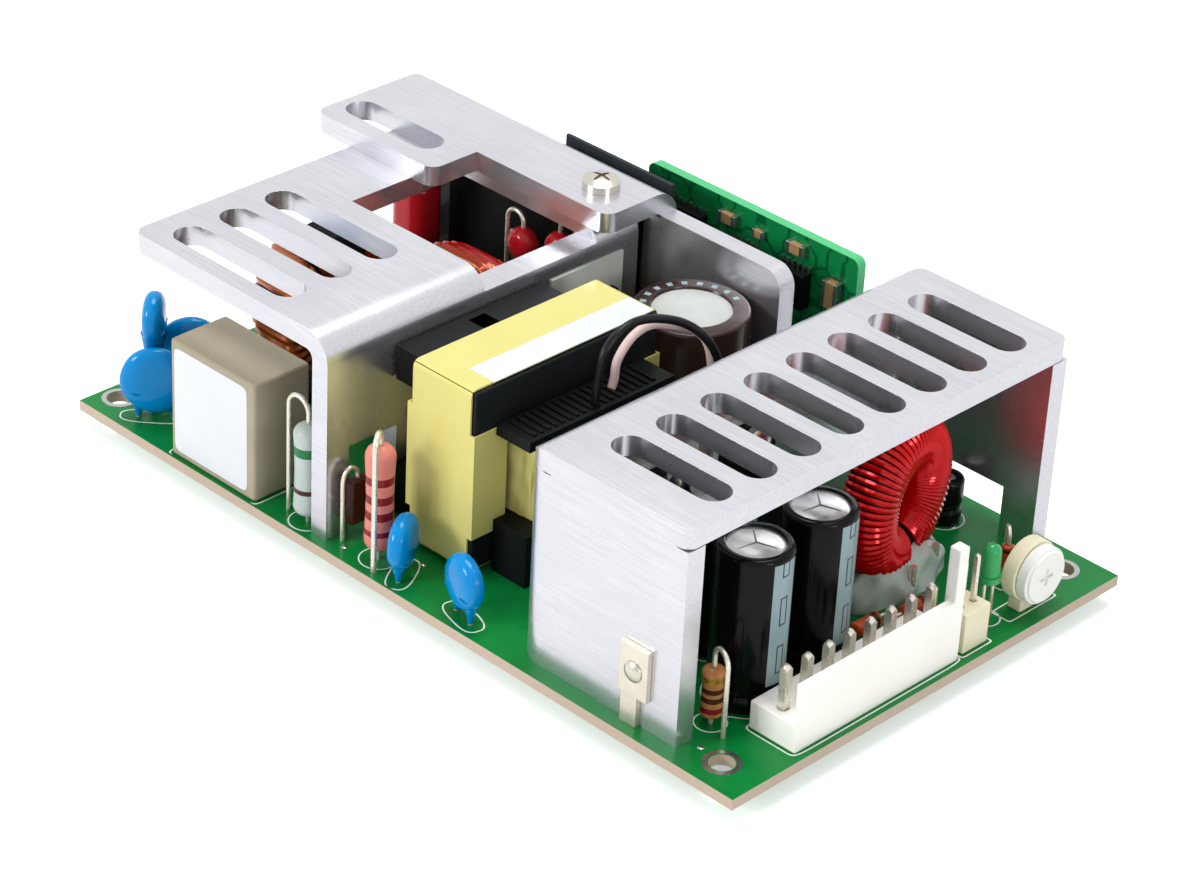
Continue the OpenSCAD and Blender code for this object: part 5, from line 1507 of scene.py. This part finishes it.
@dataclass
class SmallParts:
    """Resistors, diodes, films, the lamp and the other small parts."""

    roundings: tuple[tuple[str, float], ...] = (
        ("film_capacitor", 1.1), ("box_capacitor", 0.45), ("input_fuse", 0.5),
        ("bridge_rectifier", 0.25), ("power_transistors", 0.25), ("output_rectifiers", 0.25),
        ("trimmer_body", 0.2))
    disc_rounding: float = 0.18
    waist: float = 0.86
    shoulder_share: float = 0.12
    body_sides: int = 28
    snubber_from_wall: float = 1.3
    snubber_from_end: float = 4.4
    snubber_half: tuple[float, float] = (0.8, 1.6)
    snubber_rise: tuple[float, float] = (2.0, 9.0)
    snubber_wire: float = 0.35

    def build(self) -> None:
        """Makes each small part that has more than its solid's form."""
        pink = [Band(m, 0.07, "band_red") for m in (0.2, 0.36, 0.52, 0.68)]
        tan = [Band(0.2, 0.1, "band_red"), Band(0.4, 0.09, "band_brown"),
               Band(0.58, 0.09, "band_brown"), Band(0.8, 0.08, "band_gold")]
        green = [Band(0.72, 0.1, "band_green"), Band(0.3, 0.05, "band_brown")]
        cathode = [Band(0.78, 0.14, "band_brown")]
        self.banded("power_resistor", Axis.Z, pink)
        self.banded("banded_resistors", Axis.Z, tan)
        self.banded("inrush_limiter", Axis.Z, green)
        self.banded("glass_diode", Axis.Z, cathode)
        self.banded("lying_diodes", Axis.Y, cathode)
        for node, rounding in self.roundings:
            soften(node, rounding)
        soften("trimmer_disc", self.disc_rounding, body=TRIMMER)
        self.box_label()
        self.snubber()

    def snubber(self) -> None:
        """Stands a small dipped resistor by the input heatsink's wall, with its looped lead."""
        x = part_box("heatsink_primary")[1].x / MM + self.snubber_from_wall
        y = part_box("heatsink_primary")[0].y / MM + self.snubber_from_end
        z = BOARD_TOP
        (half_x, half_y), (foot, head) = self.snubber_half, self.snubber_rise
        body = block((x - half_x, y - half_y, z + foot), (x + half_x, y + half_y, z + head))
        add_piece("snubber_body", body, "band_brown", rounding=0.5)
        route = [(x, y - 2.6, z), (x, y - 2.6, z + 6), (x, y - 2.5, z + 9.6), (x, y - 1.4, z + 10.9),
                 (x, y - 0.2, z + 10.2), (x, y, z + 8.8)]
        add_piece("snubber_lead", tube(smooth_path(route), self.snubber_wire, 10), "tinned_wire")

    def banded(self, node: str, axis: Axis, bands: Sequence[Band]) -> None:
        """Turns a body with thicker ends and paints its bands.

        radius(t) = r * (waist + (1 - waist) * |2t - 1|^1.5) * shoulder(t), where the
        shoulder is a quarter round over the first and last 12% of the length.

        Args:
            node: The CAD node that it replaces.
            axis: The direction of the body.
            bands: The bands from the low end.
        """
        t = np.linspace(0, 1, 41)
        from_end = np.minimum(t, 1 - t) / self.shoulder_share
        shoulder = np.sqrt(np.clip(1 - np.clip(1 - from_end, 0, 1) ** 2, 0, 1))
        made, tones = [], []
        for solid in solids(node):
            length = solid.size[axis.value]
            r = np.delete(solid.size, axis.value).min() / 2
            radius = r * (self.waist + (1 - self.waist) * np.abs(2 * t - 1) ** 1.5) * shoulder
            start = solid.centre.copy()
            start[axis.value] = solid.low[axis.value]
            made.append(turned(np.stack([radius, t * length], -1), start, axis,
                               self.body_sides))
            middle = (t[:-1] + t[1:]) / 2
            tone = np.zeros(len(middle), int)
            for number, band in enumerate(bands):
                tone[np.abs(middle - band.middle) < band.width / 2] = number + 1
            tones.append(np.repeat(tone, self.body_sides))
        add_piece(node + "_banded", joined(made), SLOTS[node],
                  stands_for=(node,), tones=[band.look for band in bands],
                  tone_of=np.concatenate(tones))

    def box_label(self) -> None:
        """Sticks a bare white label with round corners on the box capacitor's outer side.

        x(t) = a * sign(cos t) * |cos t|^(1/9), and z(t) likewise with sin t.
        """
        solid = solids("box_capacitor")[0]
        low, high = solid.low + (0.9, 0, 1.0), solid.high - (1.5, 0, 1.0)
        middle, half = (low + high) / 2, (high - low) / 2
        t = np.linspace(0, 2 * np.pi, 96, endpoint=False)
        x, z = (h * np.sign(f) * np.abs(f) ** (1 / 9)
                for h, f in ((half[0], np.cos(t)), (half[2], np.sin(t))))
        rows = [np.stack([middle[0] + x * grow, np.full(96, solid.low[1] + y), middle[2] + z * grow], -1)
                for grow, y in ((0, 0.04), (1, 0.04), (1, -0.05), (0.99, -0.07), (0, -0.07))]
        add_piece("box_capacitor_label", grid(np.stack(rows), closed=True), "label_white")


@dataclass
class Connectors:
    """The headers and their pins."""

    moulding_rounding: float = 0.4
    signal_rounding: float = 0.2
    pin_rounding: float = 0.24

    def build(self) -> None:
        """Rounds the mouldings and the pins' tips."""
        for node in ("input_header", "output_header"):
            soften(node, self.moulding_rounding)
        soften("signal_header", self.signal_rounding)
        soften("header_pins_tinned", self.pin_rounding)


@dataclass
class ControlBoard:
    """The upright control board's chips, small parts and solder."""

    chip_from: float = 4.5
    leg_pitch: float = 1.0
    leg_width: float = 0.4
    leg_reach: float = 0.35
    leg_height: float = 0.55
    leg_out: float = 0.1
    cap_share: float = 0.22
    cap_proud: float = 0.03
    dot_level: float = 1.6
    dot_profile: tuple[tuple[float, float], ...] = ((0.75, -0.05), (0.6, 0.25), (0.3, 0.42), (0, 0.46))

    def build(self) -> None:
        """Dresses the parts on the front and the solder on the back."""
        chips, legs, bodies, caps = [], [], [], []
        for solid in solids("control_board_parts"):
            if solid.size[0] > self.chip_from:
                chips.append(block(solid.low + (0, 0, 0.5), solid.high - (0, 0.15, 0.5)))
                legs += self.legs(solid)
            else:
                bodies.append(block(solid.low, solid.high))
                caps += self.end_caps(solid)
        add_piece("control_chips", joined(chips), "black_mould",
                  stands_for=("control_board_parts",), rounding=0.15)
        add_piece("control_chip_legs", joined(legs), "solder")
        add_piece("control_small_bodies", joined(bodies), "ceramic_tan",
                  rounding=0.08)
        add_piece("control_end_caps", joined(caps), "solder", rounding=0.05)
        add_piece("control_solder_dots", joined(self.dots()), "solder")

    def legs(self, solid: Solid) -> list[Surface]:
        """Lays a row of flat legs along the chip's top and bottom edge.

        Args:
            solid: The chip's solid.

        Returns:
            The legs.
        """
        count = int(solid.size[0] / self.leg_pitch)
        xs = solid.centre[0] + (np.arange(count) - (count - 1) / 2) * self.leg_pitch
        half = self.leg_width / 2
        y = solid.high[1]
        spans = ((solid.low[2] - self.leg_out, solid.low[2] + self.leg_height),
                 (solid.high[2] - self.leg_height, solid.high[2] + self.leg_out))
        rows = [block((x - half, y - self.leg_reach, foot), (x + half, y, head))
                for x in xs for foot, head in spans]
        return rows

    def end_caps(self, solid: Solid) -> list[Surface]:
        """Caps both ends of a small part's body, a little proud of it.

        Args:
            solid: The part's solid.

        Returns:
            The left and the right cap.
        """
        length, proud = solid.size[0] * self.cap_share, self.cap_proud
        left = block(solid.low - proud,
                     (solid.low[0] + length, solid.high[1], solid.high[2] + proud))
        right = block((solid.high[0] - length, solid.low[1] - proud, solid.low[2] - proud),
                      (solid.high[0] + proud, solid.high[1], solid.high[2] + proud))
        return [left, right]

    def dots(self) -> list[Surface]:
        """Sets low solder domes on both faces where the pins come through.

        Returns:
            The domes.
        """
        low, high = (np.array(corner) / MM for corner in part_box("control_board"))
        turned_back = [(r, -h) for r, h in self.dot_profile]
        made = []
        for pin in solids("control_board_pins"):
            x, z = pin.centre[0], low[2] + self.dot_level
            made.append(turned(self.dot_profile, (x, high[1], z), Axis.Y, 14))
            made.append(turned(turned_back, (x, low[1], z), Axis.Y, 14))
        return made


@dataclass
class Adhesive:
    """The silicone foot round the output choke, an uneven translucent lump."""

    climb: float = 3.6
    columns: int = 120
    rows: int = 26

    def build(self) -> None:
        """Heaps the silicone over its solid's floor plan.

        p(u, v) = centre + (a * e(u) * cos v, b * e(u) * cos v), at height
        h(u) * sin v, where e and h rise and fall by sums of sines round the choke.
        """
        solid = solids("output_choke_adhesive")[0]
        flat = solid.points[:, :2] - solid.centre[:2]
        along = np.linalg.svd(flat - flat.mean(0), full_matrices=False)[2][0]
        beside = np.array([-along[1], along[0]])
        half = [np.abs(flat @ along).max(), np.abs(flat @ beside).max()]
        u = np.linspace(0, 2 * np.pi, self.columns, endpoint=False)[None, :]
        v = np.linspace(0, np.pi / 2, self.rows)[:, None]
        edge = 0.93 + 0.05 * np.sin(3 * u + 1) + 0.03 * np.sin(7 * u) + 0.02 * np.sin(11 * u + 2)
        height = solid.size[2] + self.climb * (0.5 + 0.3 * np.sin(u + 2.2) + 0.2 * np.sin(4 * u))
        lumps = 1 + 0.04 * np.sin(5 * u + 6 * v) + 0.03 * np.sin(9 * u - 8 * v)
        across = np.cos(v) ** 0.5 * edge * lumps
        plan = (across * np.cos(u) * half[0])[..., None] * along
        plan = plan + (across * np.sin(u) * half[1])[..., None] * beside
        level = solid.low[2] + 0.02 + height * np.sin(v) ** 1.1 * np.ones_like(u)
        points = np.concatenate([plan + solid.centre[:2], level[..., None]], -1)
        floor = points[:1].mean(1, keepdims=True).repeat(self.columns, 1)
        add_piece("choke_adhesive", grid(np.concatenate([floor, points]), closed=True),
                  "clear_adhesive",
                  stands_for=("output_choke_adhesive",), flat_deg=70)


# ------------------------------------------------------------------ studio


@dataclass
class Studio:
    """Camera, lamps, floor and backdrop. None of it is part of the object.

    Each lamp of the rig has its name, place in metres, side in metres and watts.
    """

    azimuth: float = 43.218
    elevation: float = 30.943
    roll: float = 3.09
    distance_mm: float = 523.221
    aim_mm: tuple[float, float, float] = (-6.438, 9.359, 4.1)
    lens_mm: float = 111.419
    sky_light: float = 0.55
    floor_lift: float = 0.45
    floor_half: float = 3.0
    floor_level: float = -0.0002
    rig: tuple[tuple[str, tuple[float, float, float], float, float], ...] = (
        ("lamp_top", (-0.10, 0.15, 0.80), 0.40, 4.7),
        ("lamp_front", (-0.40, -0.85, 0.42), 0.28, 5.6),
        ("lamp_right", (0.85, -0.10, 0.35), 0.22, 1.6),
    )

    def build(self) -> None:
        """Makes the camera, the lamps, the world and the floor."""
        self.camera()
        self.lamps()
        self.world()
        self.floor()

    def camera(self) -> None:
        """Sets the camera at the product shot's angle: three quarters from above."""
        a, e, r = (math.radians(v) for v in (self.azimuth, self.elevation, self.roll))
        back = Vector((math.sin(a) * math.cos(e), -math.cos(a) * math.cos(e), math.sin(e)))
        right = Vector((math.cos(a), math.sin(a), 0.0))
        up = back.cross(right)
        turned_right = right * math.cos(r) + up * math.sin(r)
        turned_up = up * math.cos(r) - right * math.sin(r)
        data = bpy.data.cameras.new("camera")
        data.lens = self.lens_mm
        data.sensor_width = 36.0
        data.clip_start, data.clip_end = 0.02, 20.0
        camera = bpy.data.objects.new("camera", data)
        bpy.context.scene.collection.objects.link(camera)
        place = Vector(self.aim_mm) * MM + back * self.distance_mm * MM
        axes = (turned_right, turned_up, back)
        turn = Matrix([[axes[c][row] for c in range(3)] for row in range(3)])
        camera.matrix_world = Matrix.Translation(place) @ turn.to_4x4()
        bpy.context.scene.camera = camera

    def lamps(self) -> None:
        """Adds three large soft lamps: above, from the front left and from the right."""
        for name, place, size, watts in self.rig:
            data = bpy.data.lights.new(name, "AREA")
            data.size = size
            data.energy = watts
            lamp = bpy.data.objects.new(name, data)
            bpy.context.scene.collection.objects.link(lamp)
            lamp.location = place
            lamp.rotation_euler = (-Vector(place)).to_track_quat("-Z", "Y").to_euler()

    def world(self) -> None:
        """Fills the world with plain white, seen and mirrored at full strength."""
        world = bpy.data.worlds.new("studio")
        bpy.context.scene.world = world
        world.use_nodes = True
        tree = world.node_tree
        tree.nodes.clear()
        seen = add_node(tree, "ShaderNodeLightPath")
        direct = add_node(tree, "ShaderNodeMath", {"operation": "MAXIMUM"},
                          {0: seen.outputs["Is Camera Ray"], 1: seen.outputs["Is Glossy Ray"]})
        shown = add_node(tree, "ShaderNodeMath", {"operation": "MAXIMUM"},
                         {0: direct.outputs["Value"], 1: seen.outputs["Is Transmission Ray"]})
        strength = add_node(tree, "ShaderNodeMapRange", {"To Min": self.sky_light, "To Max": 1.0},
                            {"Value": shown.outputs["Value"]})
        light = add_node(tree, "ShaderNodeBackground", {"Color": (1, 1, 1, 1)},
                         {"Strength": strength.outputs["Result"]})
        out = add_node(tree, "ShaderNodeOutputWorld")
        tree.links.new(light.outputs["Background"], out.inputs["Surface"])

    def floor(self) -> None:
        """Lays a plain pale floor under the leads' tips.

        The camera sees it lifted to white by an even glow, so only the shadow shows.
        """
        half = self.floor_half
        mesh = bpy.data.meshes.new("floor")
        mesh.from_pydata([(-half, -half, 0), (half, -half, 0), (half, half, 0), (-half, half, 0)], [],
                         [(0, 1, 2, 3)])
        floor = bpy.data.objects.new("floor", mesh)
        floor.location.z = self.floor_level
        bpy.context.scene.collection.objects.link(floor)
        made = bpy.data.materials.new("floor_white")
        made.use_nodes = True
        tree = made.node_tree
        tree.nodes.clear()
        out = add_node(tree, "ShaderNodeOutputMaterial")
        matte = add_node(tree, "ShaderNodeBsdfDiffuse", {"Color": linear("#f4f4f4")})
        seen = add_node(tree, "ShaderNodeLightPath")
        lift = add_node(tree, "ShaderNodeMath", {"operation": "MULTIPLY", 1: self.floor_lift},
                        {0: seen.outputs["Is Camera Ray"]})
        glow = add_node(tree, "ShaderNodeEmission", {"Color": (1, 1, 1, 1)},
                        {"Strength": lift.outputs["Value"]})
        both = add_node(tree, "ShaderNodeAddShader", None,
                        {0: matte.outputs["BSDF"], 1: glow.outputs["Emission"]})
        tree.links.new(both.outputs["Shader"], out.inputs["Surface"])
        mesh.materials.append(made)


def dress_nodes() -> None:
    """Gives each CAD node the finish of its material slot."""
    for name, piece in frame["nodes"].items():
        piece.data.materials.clear()
        # The control board's finish holds painted shade on its face and a painted highlight on its edge.
        look = "control_green_painted_shade" if name == "control_board" else SLOTS[name]
        piece.data.materials.append(FINISHES[look].material())


def main() -> None:
    """Builds the studio, dresses the CAD nodes and adds the detailed pieces."""
    logging.basicConfig(level=logging.INFO, format="%(name)s: %(message)s")
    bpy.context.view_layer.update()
    bpy.context.scene.view_settings.view_transform = "Standard"
    Studio().build()
    dress_nodes()
    for assembly in (Board(), Heatsinks(), Leads(), Chokes(), DippedDiscs(), Cans(),
                     Transformer(), SmallParts(), Connectors(), ControlBoard(), Adhesive()):
        LOG.info("building %s", type(assembly).__name__)
        assembly.build()


if __name__ == "__main__":
    main()
